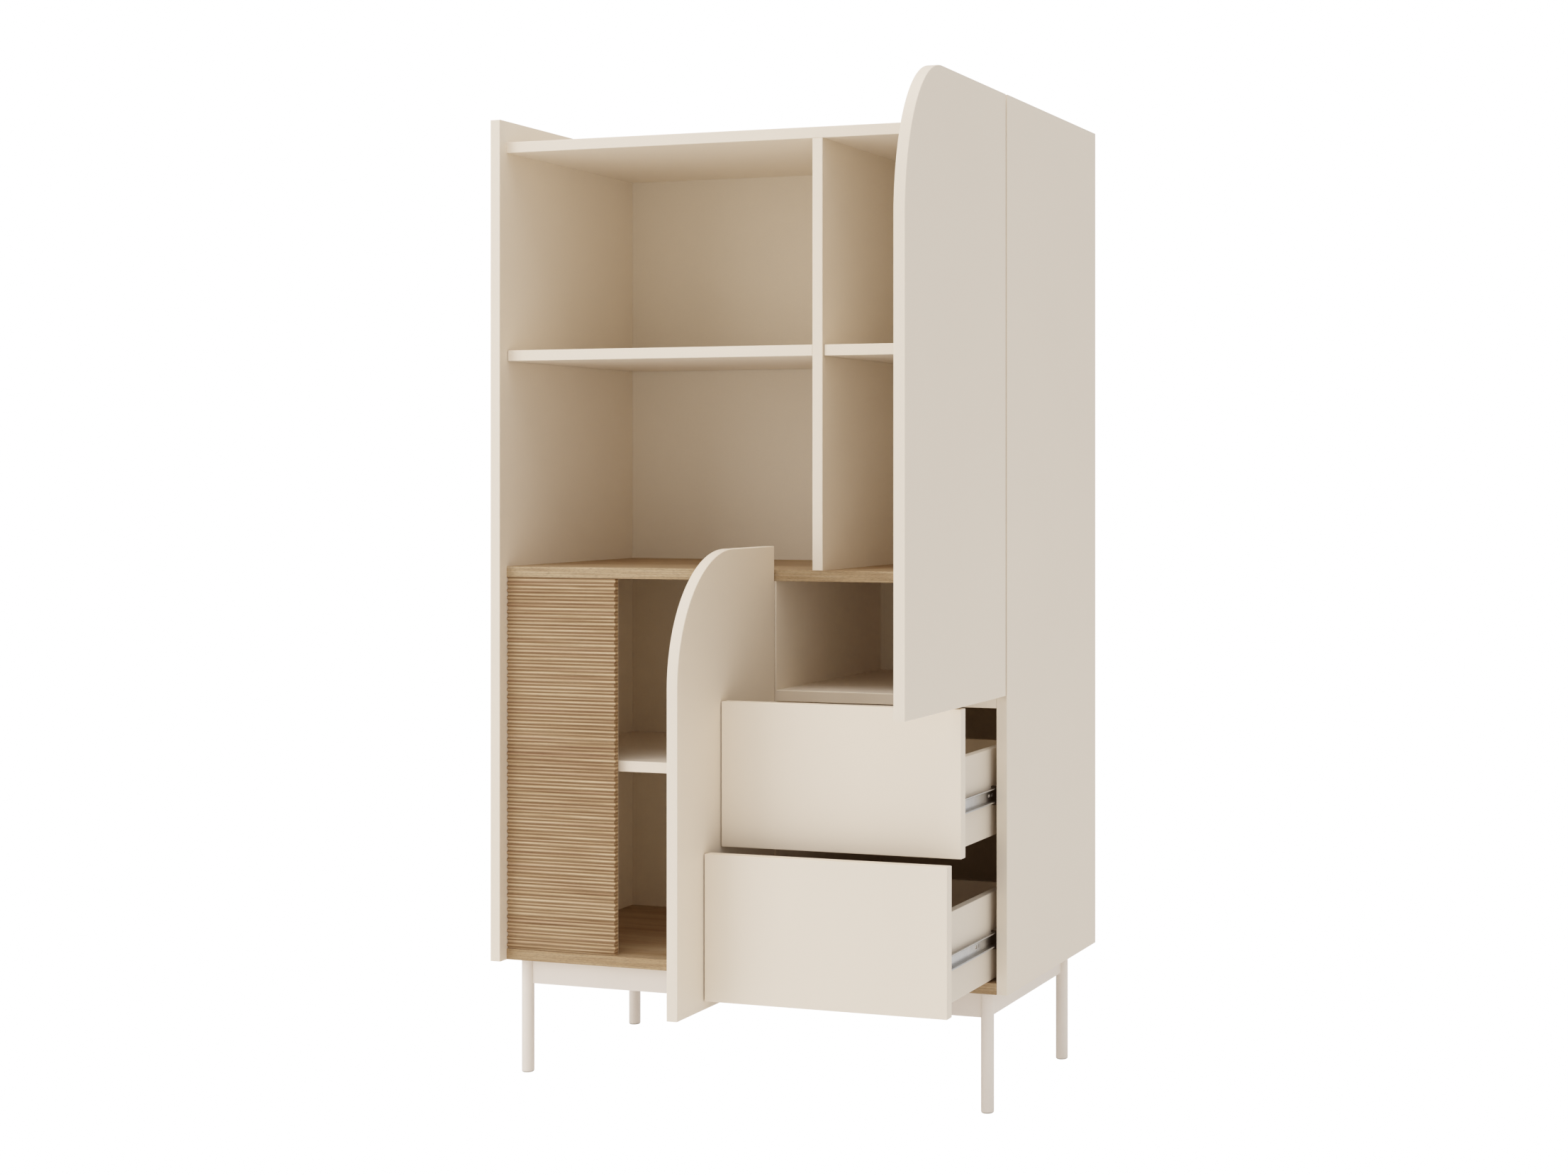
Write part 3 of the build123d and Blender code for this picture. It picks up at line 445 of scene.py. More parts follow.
def turned(name, rings, sides=24):
    """A round piece about z, in millimetres: a drum drawn up through rings of (height, radius)."""
    (foot, wide), (height, radius) = rings[:2]
    bpy.ops.mesh.primitive_cylinder_add(vertices=sides, radius=wide * mm, depth=(height - foot) * mm,
                                        location=(0.0, 0.0, (height + foot) / 2 * mm))
    piece = bpy.context.object
    piece.name = name
    bpy.ops.object.transform_apply(location=True, rotation=True, scale=True)
    begin_edit(piece)
    pick_faces(piece, lambda middle, normal: normal.z > 0.9)
    bpy.ops.transform.resize(value=(radius / wide, radius / wide, 1.0))
    for next_height, next_radius in rings[2:]:
        bpy.ops.mesh.extrude_region_move(
            TRANSFORM_OT_translate={"value": (0.0, 0.0, (next_height - height) * mm)})
        grow = next_radius / radius
        bpy.ops.transform.resize(value=(grow, grow, 1.0))
        height, radius = next_height, next_radius
    end_edit()
    return piece


def aimed(point, way, up=Vector((0.0, 0.0, 1.0))):
    """The matrix that sets a pattern down at a point with its z along a direction.

    Its y lies as near to up as it can."""
    side = up.cross(way)
    if side.length < 0.5:
        side = Vector((0.0, 1.0, 0.0)).cross(way)
    side.normalize()
    turn = Matrix((side, way.cross(side), way)).transposed()
    return Matrix.Translation(point) @ turn.to_4x4()


def set_down(pattern, name, places, material, body, slot, *stands_for):
    """Copies a pattern to each place, each copy with its own mesh, and joins them into one piece."""
    copies = []
    for place in places:
        copy = pattern.copy()
        copy.data = pattern.data.copy()
        copy.data.transform(place)
        bpy.context.collection.objects.link(copy)
        copies.append(copy)
    bpy.data.objects.remove(pattern)
    return joined(copies, name, material, body, slot, *stands_for)


def joined(parts, name, material, body, slot, *stands_for):
    """Joins parts into one finished piece, which rides on a body and may stand for CAD nodes."""
    bpy.ops.object.select_all(action="DESELECT")
    for part in parts:
        part.select_set(True)
    piece = parts[0]
    bpy.context.view_layer.objects.active = piece
    if len(parts) > 1:
        bpy.ops.object.join()
    bpy.ops.object.shade_smooth_by_angle(angle=math.radians(smooth_below))
    apply(piece, "WEIGHTED_NORMAL", keep_sharp=True)
    piece.select_set(False)
    piece.name = name
    piece.data.materials.clear()
    piece.data.materials.append(material)
    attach(piece, body)
    if stands_for:
        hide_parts(*stands_for)
    return piece


rail_low, rail_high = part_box("frame_front_rail")
bead_length = (rail_high[2] - rail_low[2]) / mm - 2 * bead_from_edge
ripples = int(bead_length / bead_step)
bead_rings = [(0.0, bead_end)]
for ripple in range(ripples):
    swell = bead_radius + (bead_ripple if ripple % 2 else -bead_ripple)
    bead_rings.append(((ripple + 0.5) * bead_step, swell))
bead_rings.append((ripples * bead_step, bead_end))
bead_places = []
for leg in ("front_left_leg", "rear_left_leg", "front_right_leg", "rear_right_leg"):
    leg_low, leg_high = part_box(leg)
    middle = (Vector(leg_low) + Vector(leg_high)) / 2
    reach = (leg_high[0] - leg_low[0]) / 2
    inward_x = -math.copysign(1.0, middle.x)
    inward_y = 1.0 if "front" in leg else -1.0
    corner = (reach + bead_off_tube * mm, bead_off_bar * mm)
    for across, along in (corner, reversed(corner)):
        bead_places.append(Matrix.Translation((
            middle.x + inward_x * across, middle.y + inward_y * along, rail_low[2] + bead_from_edge * mm)))
set_down(turned("bead", bead_rings, 10), "weld_beads", bead_places, coat, "carcass", "powder_coat")


# Glides: the feet of the tubes.
# Moulded plastic a shade darker than the frame: a flange with an eased rim under the tube, and a plug
# above it with three thin ribs that grip the bore.
glide_colour = (0.600, 0.545, 0.475)
glide_rough = 0.45
plug_radius, grip_radius = 7.0, 7.4
grip_slope = 0.4
spark_grain, plastic_cloud = 0.5, 8.0


def moulded(name, colour, rough):
    """Plain moulded plastic with a fine spark-eroded skin."""
    material, place = new_material(name)
    grain = noise(material, place, spark_grain, detail=1.0)
    cloud = noise(material, place, plastic_cloud)
    return finish(material, varied(material, cloud, colour, share=0.02), rough, grain, strength=0.1)


def solids(node):
    """The separate solids of a CAD node: the points of each, in a merged copy of its mesh."""
    mesh = bmesh.new()
    mesh.from_mesh(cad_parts[node].data)
    bmesh.ops.remove_doubles(mesh, verts=mesh.verts, dist=1e-6)
    left = set(mesh.verts)
    found = []
    while left:
        island = [left.pop()]
        for vert in island:
            for edge in vert.link_edges:
                other = edge.other_vert(vert)
                if other in left:
                    left.remove(other)
                    island.append(other)
        found.append([vert.co.copy() for vert in island])
    mesh.free()
    return sorted(found, key=lambda points: [round(part, 5) for part in corners(points)[0]])


def corners(points):
    """The lowest and highest corner of some points, and the middle between them."""
    low = Vector([min(point[axis] for point in points) for axis in range(3)])
    high = Vector([max(point[axis] for point in points) for axis in range(3)])
    return low, high, (low + high) / 2


glide_plastic = moulded("glide_plastic", glide_colour, glide_rough)
glide_rings = [(0.0, 7.7), (0.7, 8.6), (1.6, 8.7), (2.0, 8.5), (2.0, plug_radius)]
for grip in (3.5, 7.0, 10.5):
    glide_rings += [(grip, plug_radius), (grip + grip_slope, grip_radius),
                    (grip + 2 * grip_slope, grip_radius), (grip + 3 * grip_slope, plug_radius)]
glide_rings += [(13.2, plug_radius), (14.0, 6.2)]
glide_places = []
for points in solids("leg_glides"):
    low, high, middle = corners(points)
    glide_places.append(Matrix.Translation((middle.x, middle.y, low.z)))
set_down(turned("glide", glide_rings, 32), "glides", glide_places, glide_plastic, "carcass",
         "glide_plastic", "leg_glides")


# Screws: pan heads with a cross recess, in the frame, the brackets, the hinges and the drawers.
# Steel wire with a rolled thread and a bright zinc or nickel plate, driven until the head seats.
head_rise, head_radius, head_crown = 1.5, 3.2, 1.6
recess_width, recess_depth, recess_reach = 1.0, 1.0, 1.75
recess_taper = 0.55
thread_pitch = 1.4
thread_end = 1.0
thread_radius, core_radius, tip_radius = 1.6, 1.15, 0.3
tip_length = 2.0
neck_length, neck_radius = 0.6, 1.5
rim_share = 0.95


def dome(rise, wide, crown, steps):
    """Rings of (height, radius) from nought in to a flat crown, round a quarter of an ellipse."""
    angles = [math.radians(90.0) * step / steps for step in range(steps + 1)]
    return [(rise * math.sin(angle), crown + (wide - crown) * math.cos(angle)) for angle in angles]


def cut(piece, *cutters):
    """Takes the cutters' shapes out of a piece."""
    for cutter in cutters:
        apply(piece, "BOOLEAN", operation="DIFFERENCE", object=cutter, solver="EXACT")
        bpy.data.objects.remove(cutter)
    return piece


def block(low, high):
    """A straight block between two corners, in millimetres."""
    low, high = Vector(low) * mm, Vector(high) * mm
    bpy.ops.mesh.primitive_cube_add(size=1.0, location=(low + high) / 2)
    piece = bpy.context.object
    piece.scale = high - low
    bpy.ops.object.transform_apply(location=True, rotation=True, scale=True)
    return piece


def cross_recess(piece, top, depth, reach):
    """Sinks a cross for the driver into the top of a head, narrower towards its floor."""
    above = top + recess_depth / 2
    for across, along in ((reach, recess_width / 2), (recess_width / 2, reach)):
        blade = block((-across, -along, top - depth), (across, along, above))
        begin_edit(blade)
        pick_faces(blade, lambda middle, normal: normal.z < -0.9)
        bpy.ops.transform.resize(value=(recess_taper, recess_taper, 1.0))
        end_edit()
        cut(piece, blade)
    return piece


def screw(length):
    """A pan head screw about z with its seat at nought and its point down at -length."""
    height = tip_length - length
    rings = [(-length, tip_radius), (height, core_radius)]
    while height + thread_pitch < -thread_end:
        rings += [(height + thread_pitch / 2, thread_radius), (height + thread_pitch, core_radius)]
        height += thread_pitch
    rings += [(-neck_length, neck_radius), *dome(head_rise, head_radius, head_crown, 4)]
    return cross_recess(turned("screw", rings, 20), head_rise, recess_depth, recess_reach)


def headed(node):
    """Where each screw of a CAD node has the top of its head, which way that faces, and its length."""
    found = []
    for points in solids(node):
        low, high, middle = corners(points)
        sizes = high - low
        axis = max(range(3), key=lambda a: sizes[a])
        others = [a for a in range(3) if a != axis]
        spread = [sum((point[a] - middle[a]) ** 2 for a in others) for point in points]
        rim = [point[axis] for point, far in zip(points, spread) if far > rim_share * max(spread)]
        side = 1.0 if sum(rim) / len(rim) > middle[axis] else -1.0
        way = Vector([side if a == axis else 0.0 for a in range(3)])
        found.append((middle + way * sizes[axis] / 2, way, sizes[axis]))
    return found


def screws(name, node, body, slot, metal):
    """Stands modelled screws in the places of a CAD node's, one pattern for each length."""
    by_length = {}
    for top, way, length in headed(node):
        by_length.setdefault(round(length / mm, 1), []).append(aimed(top - way * head_rise * mm, way))
    for number, (length, places) in enumerate(sorted(by_length.items())):
        label = name if len(by_length) == 1 else f"{name}_{number + 1}"
        set_down(screw(length - head_rise), label, places, metal, body, slot, node)


screws("frame_and_hinge_screws", "wood_screws", "carcass", "zinc_steel", zinc)
for drawer in ("upper_drawer", "lower_drawer"):
    screws(drawer + "_pan_screws", drawer + "_screws", drawer, "zinc_steel", zinc)
for door in ("upper_door", "lower_door"):
    screws(door + "_hinge_screws", door + "_cup_screws", door, "hinge_steel", nickel)


# Wall brackets: two angles at the back of the top panel.
# Each is a 2 mm steel strip folded once, with its corners rounded off and its holes punched, and is
# screwed down through its foot; its upright takes a wall screw.
bracket_steel = 2.0
bracket_corner = 5.0
bracket_bend = 2.5
bracket_hole = 2.75
bracket_hole_height = 17.0
bracket_screw_reach = 10.0
bracket_screw_from_back = 22.0
screw_hole = 1.75
past_face = 1.0
touching = 0.01
ease_above = 50.0


def rod(radius, low, high, at=(0.0, 0.0), sides=28):
    """A straight round bar along z between two heights, in millimetres."""
    bpy.ops.mesh.primitive_cylinder_add(
        vertices=sides, radius=radius * mm, depth=(high - low) * mm,
        location=(at[0] * mm, at[1] * mm, (low + high) / 2 * mm))
    bpy.ops.object.transform_apply(location=True, rotation=True, scale=True)
    return bpy.context.object


def turn(piece, axis, degrees, then=(0.0, 0.0, 0.0)):
    """Turns a piece about an axis through the origin, then moves it so many millimetres."""
    swing = Matrix.Rotation(math.radians(degrees), 4, axis)
    piece.data.transform(Matrix.Translation(Vector(then) * mm) @ swing)
    return piece


def folded(points, length, steel, bend):
    """A steel strip folded through points of (x, z) in its middle, running along y from nought."""
    bpy.ops.mesh.primitive_plane_add(size=1.0)
    piece = bpy.context.object
    begin_edit(piece, "VERT")
    mesh = bmesh.from_edit_mesh(piece.data)
    for vert in mesh.verts:
        vert.select_set(vert.co.x > 0.0)
    bmesh.update_edit_mesh(piece.data)
    bpy.ops.mesh.delete(type="VERT")
    bpy.ops.mesh.select_mode(type="EDGE")
    bpy.ops.mesh.select_all(action="SELECT")
    x, z = points[0]
    bpy.ops.transform.translate(value=(0.5 + x * mm, 0.5, z * mm))
    bpy.ops.transform.resize(value=(1.0, length * mm, 1.0), center_override=(0.0, 0.0, 0.0))
    for next_x, next_z in points[1:]:
        step = ((next_x - x) * mm, 0.0, (next_z - z) * mm)
        bpy.ops.mesh.extrude_region_move(TRANSFORM_OT_translate={"value": step})
        x, z = next_x, next_z
    bends = [Vector((x, length / 2, z)) * mm for x, z in points[1:-1]]
    pick_edges(piece, lambda middle, way: min((middle - at).length for at in bends) < touching * mm)
    bpy.ops.mesh.bevel(offset=bend * mm, segments=4, affect="EDGES")
    bpy.ops.mesh.select_all(action="SELECT")
    bpy.ops.mesh.normals_make_consistent(inside=False)
    end_edit()
    apply(piece, "SOLIDIFY", thickness=steel * mm, offset=0.0, use_even_offset=True)
    return piece


def eased(piece, width=0.2):
    """Takes the sharpness off a piece's edges."""
    apply(piece, "BEVEL", width=width * mm, segments=2, limit_method="ANGLE",
          angle_limit=math.radians(ease_above))
    return piece


def round_corners(piece, radius, test=lambda at: True):
    """Rounds the edges along z whose middles, in millimetres, pass a test."""
    begin_edit(piece, "EDGE")
    pick_edges(piece, lambda middle, way: abs(way.z) > 0.9 and test(middle / mm))
    bpy.ops.mesh.bevel(offset=radius * mm, segments=6, affect="EDGES")
    end_edit()
    return piece


bracket_places = []
for points in solids("wall_brackets"):
    low, high, middle = corners(points)
    bracket_places.append(Matrix.Translation((middle.x, high.y, low.z)))
    width, foot, rise = (high - low) / mm
half_steel = bracket_steel / 2
bracket = folded([(-foot, half_steel), (-half_steel, half_steel), (-half_steel, rise)], width,
                 bracket_steel, bracket_bend)
turn(bracket, "Z", 90.0, (width / 2, 0.0, 0.0))
round_corners(bracket, bracket_corner, lambda at: at.y < past_face - foot)
turn(bracket, "X", -90.0)
round_corners(bracket, bracket_corner, lambda at: at.y > rise - past_face)
turn(bracket, "X", 90.0)
for across in (-bracket_screw_reach, bracket_screw_reach):
    cut(bracket, rod(screw_hole, -past_face, 2 * bracket_steel, (across, -bracket_screw_from_back)))
wall_drill = rod(bracket_hole, -2 * bracket_steel, 2 * bracket_steel)
cut(bracket, turn(wall_drill, "X", 90.0, (0.0, 0.0, bracket_hole_height)))
set_down(eased(bracket), "top_wall_brackets", bracket_places, zinc, "carcass", "zinc_steel",
         "wall_brackets")


# Soft dots on the front edges, where the closed doors and the upper drawer come to rest.
# Small domes of soft plastic a shade darker than the boards, with a sticky back, pressed on by hand.
dot_colour, dot_rough = (0.66, 0.58, 0.49), 0.35
dot_rise, dot_radius, dot_crown = 1.5, 4.0, 0.5
dot_places = []
for points in solids("bumpers"):
    low, high, middle = corners(points)
    dot_places.append(aimed(Vector((middle.x, high.y, middle.z)), Vector((0.0, -1.0, 0.0))))
set_down(turned("dot", dome(dot_rise, dot_radius, dot_crown, 6), 28), "soft_dots", dot_places,
         moulded("soft_dot_plastic", dot_colour, dot_rough), "carcass", "soft_dot", "bumpers")


# Hinge plates, screwed to the right side panel and to the lower divider.
# Each is a cross pressed from nickel plated steel, with a screw in either wing.
# Like the arms and the cups it is drawn flat: x runs back from the pin, and z away from the board.
plate_half_height = 7.0
plate_corner = 2.5
plate_ease = 0.35
wing_half_depth = 6.0
wing_screw_from_end = 6.0
short_of_round = 0.5


def flat_bar(low, high, corner):
    """A block between two corners, in millimetres, with its edges along z rounded."""
    return round_corners(block(low, high), corner)


def fused(piece, *others):
    """Joins pieces that overlap into one closed piece."""
    for other in others:
        apply(piece, "BOOLEAN", operation="UNION", object=other, solver="EXACT")
        bpy.data.objects.remove(other)
    return piece


def against(x, y, z):
    """Stands a flat piece against a board's left face: its z points left, and its x points back."""
    stand = Matrix(((0.0, 0.0, -1.0), (1.0, 0.0, 0.0), (0.0, -1.0, 0.0)))
    return Matrix.Translation((x, y, z)) @ stand.to_4x4()


pin_middles = {}
for door in ("upper_door", "lower_door"):
    pin_middles[door] = [corners(points)[2] for points in solids(door + "_hinge_pins")]
plates = [corners(points) for points in solids("hinge_plates")]
plate_low, plate_high = plates[0][:2]
pin_y = pin_middles["upper_door"][0].y
plate_start = (plate_low.y - pin_y) / mm
plate_end = (plate_high.y - pin_y) / mm
plate_steel = (plate_high.x - plate_low.x) / mm
wing_reach = (plate_high.z - plate_low.z) / 2 / mm
wing_row = (min(top.y for top, way, length in headed("wood_screws") if way.x < -0.5) - pin_y) / mm
stem = flat_bar((plate_start, -plate_half_height, 0.0), (plate_end, plate_half_height, plate_steel),
                plate_corner)
wings = flat_bar((wing_row - wing_half_depth, -wing_reach, 0.0),
                 (wing_row + wing_half_depth, wing_reach, plate_steel), wing_half_depth - short_of_round)
plate = fused(stem, wings)
for level in (wing_screw_from_end - wing_reach, wing_reach - wing_screw_from_end):
    cut(plate, rod(screw_hole, -past_face, plate_steel + past_face, (wing_row, level)))
plate_places = [against(high.x, pin_y, middle.z) for low, high, middle in plates]
set_down(eased(plate, plate_ease), "hinge_mounting_plates", plate_places, nickel, "carcass", "hinge_steel",
         "hinge_plates")


# Hinge arms: the bent steel straps that reach from the plates into the doors' cups.
# Each is folded from a thick strip, narrowed towards its rolled nose, slotted for the screw that sets
# its depth, and has a second screw that sets how far the door stands off.
arm_steel = 2.8
arm_half_height = 7.0
nose_half_height = 4.5
arm_narrow_end = 12.0
arm_bend = 2.2
nose_radius = 2.4
pin_bore = 1.4
slot_start, slot_end = 38.0, 52.0
slot_half = 2.4
depth_screw_at = 46.0
gap_screw_at = 25.0
set_screw_length = 4.0
set_screw_sunk = 0.6
set_screw_twist = 30.0
arm_corner = 3.0
shoulder_corner = 2.0
arm_slot_corner = 2.3
arm_ease = 0.45
past_arm = 20.0
same_level = 5.0


def hinge_arm(pin_below, arm_end):
    """An arm drawn flat, and its two screws; its pin lies so many millimetres below the board's face."""
    level = plate_steel + arm_steel / 2
    arm = folded([(0.0, -pin_below), (0.0, level), (arm_end, level)], 2 * arm_half_height, arm_steel,
                 arm_bend)
    arm.data.transform(Matrix.Translation((0.0, -arm_half_height * mm, 0.0)))
    round_corners(arm, arm_corner, lambda at: at.x > arm_end - past_face)
    for low, high in ((nose_half_height, 2 * arm_half_height), (-2 * arm_half_height, -nose_half_height)):
        cut(arm, flat_bar((-arm_narrow_end, low, -past_arm), (arm_narrow_end, high, past_arm),
                          shoulder_corner))
    at_pin = (0.0, 0.0, -pin_below)
    arm = fused(arm, turn(rod(nose_radius, -nose_half_height, nose_half_height), "X", 90.0, at_pin))
    pin_drill = rod(pin_bore, -arm_half_height - past_face, arm_half_height + past_face)
    cut(arm, turn(pin_drill, "X", 90.0, at_pin))
    cut(arm, flat_bar((slot_start, -slot_half, 0.0), (slot_end, slot_half, past_arm), arm_slot_corner))
    eased(arm, arm_ease)
    head_level = plate_steel + arm_steel - set_screw_sunk
    return [arm] + [turn(screw(set_screw_length), "Z", set_screw_twist, (along, 0.0, head_level))
                    for along in (depth_screw_at, gap_screw_at)]


arm_parts = []
for door, middles in pin_middles.items():
    for middle in middles:
        face = min(high.x for low, high, at in plates if abs(at.z - middle.z) < same_level * mm)
        for part in hinge_arm((middle.x - face) / mm, plate_end):
            part.data.transform(against(face, middle.y, middle.z))
            arm_parts.append(part)
joined(arm_parts, "hinge_arm_straps", nickel, "carcass", "hinge_steel", "hinge_arms")


# Hinge cups: the round housings let into the doors.
# Each is a bowl drawn from nickel plated steel with a flange and two ears, screwed to the door through
# the ears; two cheeks inside it hold the pin, and its rim is notched where the arm comes out.
cup_rings = [(-12.9, 15.6), (-12.5, 16.8), (-11.4, 17.3), (0.0, 17.4), (0.0, 18.3), (0.9, 18.3),
             (1.2, 18.0), (1.2, 16.9), (0.7, 16.3), (-10.8, 15.7), (-11.6, 14.9)]
cup_floor = cup_rings[-1][0]
ear_mouth = 17.4
ear_half_width = 9.0
ear_reach = 28.0
ear_steel = 1.2
ear_screw_reach = 24.0
cheek_inner, cheek_outer = 5.0, 7.9
cheek_length = 5.5
cheek_top = -5.6
cheek_past_pin = 1.2
cheek_sunk = 0.3
pin_room = 0.3
pocket_skin = 0.1
cup_from_pin = -14.0
notch_half_height = 4.9
notch_floor = -6.5
notch_reach = 5.0


def hinge_cup(pin_ahead):
    """A cup drawn flat about its own middle, with its pin so many millimetres along x."""
    cup = turned("cup", cup_rings, 48)
    ears = flat_bar((-ear_half_width, -ear_reach, 0.0), (ear_half_width, ear_reach, ear_steel),
                    ear_half_width - short_of_round)
    cut(ears, rod(ear_mouth, -past_face, ear_steel + past_face, sides=48))
    for along in (-ear_screw_reach, ear_screw_reach):
        cut(ears, rod(screw_hole, -past_face, ear_steel + past_face, (0.0, along)))
    cup = fused(cup, ears)
    for side in (-1, 1):
        near, far = sorted((side * cheek_inner, side * cheek_outer))
        cup = fused(cup, block((pin_ahead - cheek_length, near, cup_floor - cheek_sunk),
                               (pin_ahead + cheek_past_pin, far, cheek_top)))
    cut(cup, block((pin_ahead - past_face, -notch_half_height, cup_floor + pocket_skin),
                   (pin_ahead + nose_radius + pin_room, notch_half_height, cheek_top)))
    cut(cup, block((pin_ahead, -notch_half_height, notch_floor),
                   (pin_ahead + notch_reach, notch_half_height, ear_steel + past_face)))
    return eased(cup)


for door, middles in pin_middles.items():
    inner_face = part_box(door)[0].x
    cup_places = [against(inner_face, middle.y + cup_from_pin * mm, middle.z) for middle in middles]
    set_down(hinge_cup(-cup_from_pin), door + "_cups", cup_places, nickel, door, "hinge_steel",
             door + "_hinge_cups")


# Drawer slides: the members on the cabinet and the ones on the drawers.
# Rolled from 1.2 mm zinc plated strip and sheared to length; the cabinet members' front ends are painted
# near-black as shade, where they sit deep beside the panel. Each is an open channel with lips that keep
# the balls in, and has punched holes for its screws and a slotted catch.
slide_steel = 1.2
slide_bend = 1.1
slide_ease = 0.15
slide_screw_from_end = 28.0
slide_hole, slide_hole_corner = (3.5, 3.5), 1.7
catch_from_front = 142.0
catch_size, catch_corner = (7.0, 4.2), 1.6
catch_slots = (8.5, 13.0)
catch_slot_size, catch_slot_corner = (1.9, 5.0), 0.6
slot_places = (60.0, 92.0, 230.0, 262.0)
slot_size, slot_corner = (9.0, 4.4), 2.1
punch_reach = 15.0
end_shade_depth = 0.35
cabinet_lip = 1.5
drawer_lip = 1.2
web = slide_steel / 2


def cabinet_section(reach, height):
    """The upper half of the cabinet members' channel, as points (from the cabinet's side, level)."""
    flange = height / 2 - web
    return [(reach - web, height / 2 - slide_steel - cabinet_lip), (reach - web, flange), (web, flange)]


def drawer_section(reach, height):
    """The upper half of the drawer members' channel, which opens towards the cabinet's."""
    flange = height / 2 - drawer_lip - web
    return [(web, height / 2), (web, flange), (reach - web, flange)]


def slide_members(node, section, holes):
    """Members in the places of a CAD node's; each runs back from its front end."""
    node_low, node_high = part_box(node)
    members = []
    for points in solids(node):
        low, high, middle = corners(points)
        way = 1.0 if middle.x < (node_low.x + node_high.x) / 2 else -1.0
        reach, length, height = (high - low) / mm
        upper = [(way * u, level) for u, level in section(reach, height)]
        lower = [(u, -level) for u, level in reversed(upper)]
        member = folded(upper + lower, length, slide_steel, slide_bend)
        ends = [(along, slide_hole, slide_hole_corner)
                for along in (slide_screw_from_end, length - slide_screw_from_end)]
        for along, (size_along, size_up), corner in ends + holes:
            punch = flat_bar((-size_up / 2, -size_along / 2, -punch_reach),
                             (size_up / 2, size_along / 2, punch_reach), corner)
            cut(member, turn(punch, "Y", 90.0, (0.0, along, 0.0)))
        eased(member, slide_ease)
        member.data.transform(Matrix.Translation((low.x if way > 0 else high.x, low.y, middle.z)))
        members.append(member)
    return members


slots = [(along, slot_size, slot_corner) for along in slot_places]
catch = [(catch_from_front, catch_size, catch_corner)]
catch += [(catch_from_front + along, catch_slot_size, catch_slot_corner) for along in catch_slots]
# The cabinet members' front end faces are painted near-black as shade.
end_shaded_zinc = plated("end_shaded_zinc", zinc_colour, zinc_rough,
                      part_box("slide_cabinet_members")[0].y + end_shade_depth * mm)
joined(slide_members("slide_cabinet_members", cabinet_section, slots), "cabinet_slide_members",
       end_shaded_zinc, "carcass", "zinc_steel", "slide_cabinet_members")
for drawer in ("upper_drawer", "lower_drawer"):
    node = drawer + "_slide_members"
    joined(slide_members(node, drawer_section, catch + slots[2:]), drawer + "_side_members", zinc,
           drawer, "zinc_steel", node)


# Flat headed screws that hold the slides' members to the cabinet.
# Zinc plated steel with thin countersunk heads and a shallow cross, driven flush so that the drawer's
# member runs past them.
flat_head = ((-0.6, 1.7), (0.0, 3.05), (0.0, 2.6), (-0.06, 2.5))
flat_core = 1.3
flat_recess_depth, flat_recess_reach = 0.5, 1.6
flat_places = [aimed(top, way) for top, way, length in headed("slide_screws")]
flat_length = headed("slide_screws")[0][2] / mm
flat_rings = [(-flat_length, tip_radius), (tip_length - flat_length, flat_core),
              (1.2 * tip_length - flat_length, thread_radius), *flat_head]
flat_screw = cross_recess(turned("flat_screw", flat_rings, 20), 0.0, flat_recess_depth,
                          flat_recess_reach)
set_down(flat_screw, "slide_flat_screws", flat_places, zinc, "carcass", "zinc_steel", "slide_screws")


# The floor: a plain pale surface that is white to the camera, so it runs into the white behind it.
# It takes no shadow, but lights the underside of the boards as a pale floor does.
white = (1.0, 1.0, 1.0, 1.0)
seen_strength = 1.0
floor_albedo = 0.92
floor_glow = 0.13
floor_cloud = 3000.0
floor_size = 60.0
bpy.ops.mesh.primitive_plane_add(size=floor_size, location=(0.0, 0.0, 0.0))
floor = bpy.context.object
floor.name = "floor"
floor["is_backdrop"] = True
floor_paint, floor_place = new_material("floor_paint")
ray = shade(floor_paint, "LightPath").outputs["Is Camera Ray"]
pale = noise(floor_paint, floor_place, floor_cloud)
matt = shade(floor_paint, "BsdfDiffuse", {"Color": ramp(
    floor_paint, pale, (0.3, floor_albedo), (0.7, floor_albedo + 0.01))})
glow = shade(floor_paint, "Emission", {"Color": white, "Strength": seen_strength})
lift = shade(floor_paint, "Emission", {"Color": white, "Strength": floor_glow})
lit = shade(floor_paint, "AddShader", {0: matt.outputs[0], 1: lift.outputs[0]})
both = shade(floor_paint, "MixShader", {0: ray, 1: lit.outputs[0], 2: glow.outputs[0]})
shade(floor_paint, "OutputMaterial", {"Surface": both.outputs[0]})
floor.data.materials.append(floor_paint)


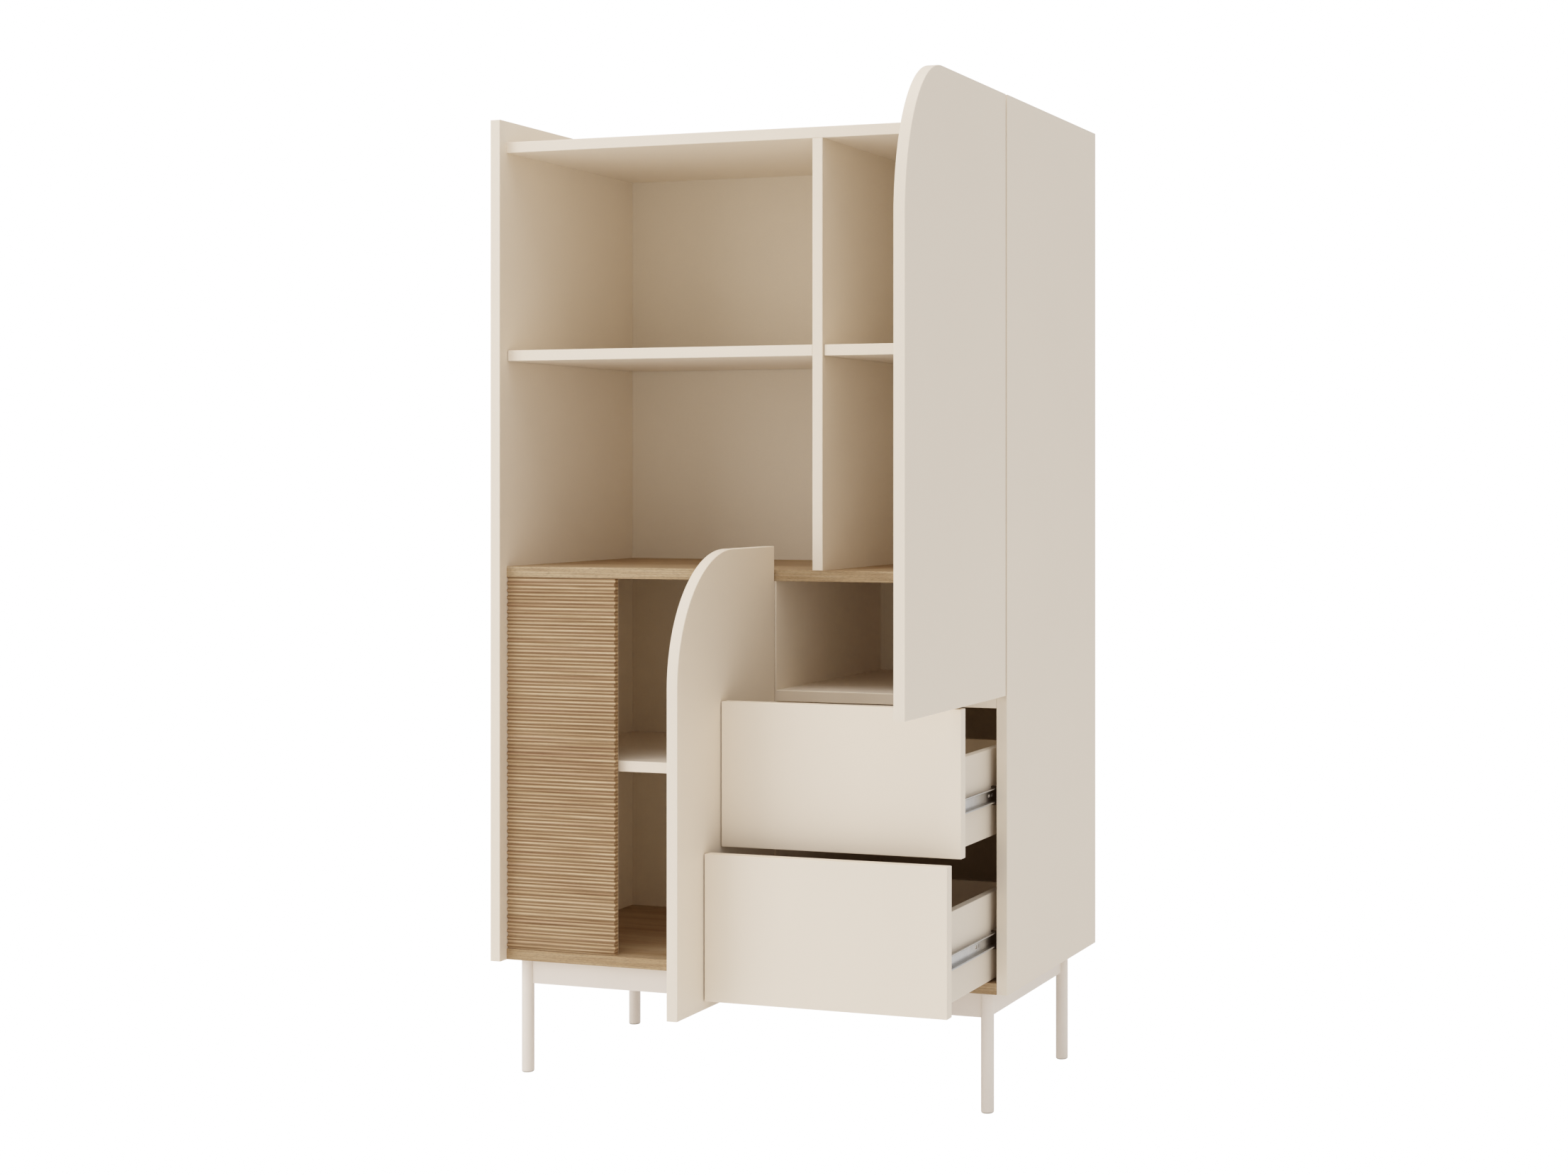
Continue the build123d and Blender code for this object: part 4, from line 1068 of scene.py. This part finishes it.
# Light: a pale room, with one large soft box in front to the left and one overhead.
# Their strengths and their faint tint were matched to how bright each board looks.
light_tint = (0.98, 0.98, 1.0)
room_strength = 0.385
lit_middle = Vector((0.0, 0.0, 0.7))
scene = bpy.context.scene
room = bpy.data.worlds.new("pale_room")
room.use_nodes = True
room.node_tree.nodes.clear()
ray = shade(room, "LightPath").outputs["Is Camera Ray"]
lighting = shade(room, "Background", {"Color": (*light_tint, 1.0), "Strength": room_strength})
seen = shade(room, "Background", {"Color": white, "Strength": seen_strength})
both = shade(room, "MixShader", {0: ray, 1: lighting.outputs[0], 2: seen.outputs[0]})
shade(room, "OutputWorld", {"Surface": both.outputs[0]})
scene.world = room


def soft_box(name, place, size, power):
    """A square soft light at a place, turned to the middle of the shelf unit."""
    light = bpy.data.lights.new(name, "AREA")
    light.shape = "SQUARE"
    light.size = size
    light.energy = power
    light.color = light_tint
    box = bpy.data.objects.new(name, light)
    box.location = place
    box.rotation_euler = (lit_middle - Vector(place)).to_track_quat("-Z", "Y").to_euler()
    scene.collection.objects.link(box)


soft_box("front_left_box", (-3.2, -3.8, 1.8), 3.0, 31.0)
soft_box("overhead_box", (0.0, -1.0, 5.0), 3.0, 50.0)


# The camera stands to the right of the middle at chest height and looks level, turned a little left;
# its shift frames the shelf unit without tipping the view, so that upright edges stay upright.
camera = bpy.data.cameras.new("camera")
camera.lens = 52.6
camera.sensor_width = 36.0
camera.shift_x = -0.2233
camera.shift_y = -0.0709
camera.clip_end = 200.0
viewer = bpy.data.objects.new("camera", camera)
viewer.location = (1.5284, -2.97645, 0.8876)
viewer.rotation_euler = (math.radians(90.0), 0.0, math.radians(17.595))
scene.collection.objects.link(viewer)
scene.camera = viewer


# The picture's tone: a soft toe and a long shoulder that ends at white, as a studio picture has, with a
# faint warm flare that keeps the darkest corners brown.
lens_flare = (0.013, 0.0085, 0.0052)
tone_shoulder = 3.3
tone_toe = 1.66
tone_steps = 12
scene.view_settings.view_transform = "Standard"
scene.view_settings.use_curve_mapping = True
tone = scene.view_settings.curve_mapping
for step in range(1, tone_steps):
    dim = (step / tone_steps) ** 2
    lifted = (1.0 + tone_shoulder) * dim / (1.0 + tone_shoulder * dim)
    tone.curves[3].points.new(dim, lifted ** tone_toe)
for channel, flare in enumerate(lens_flare):
    tone.curves[channel].points[0].location = (0.0, flare)
tone.update()

low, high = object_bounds()
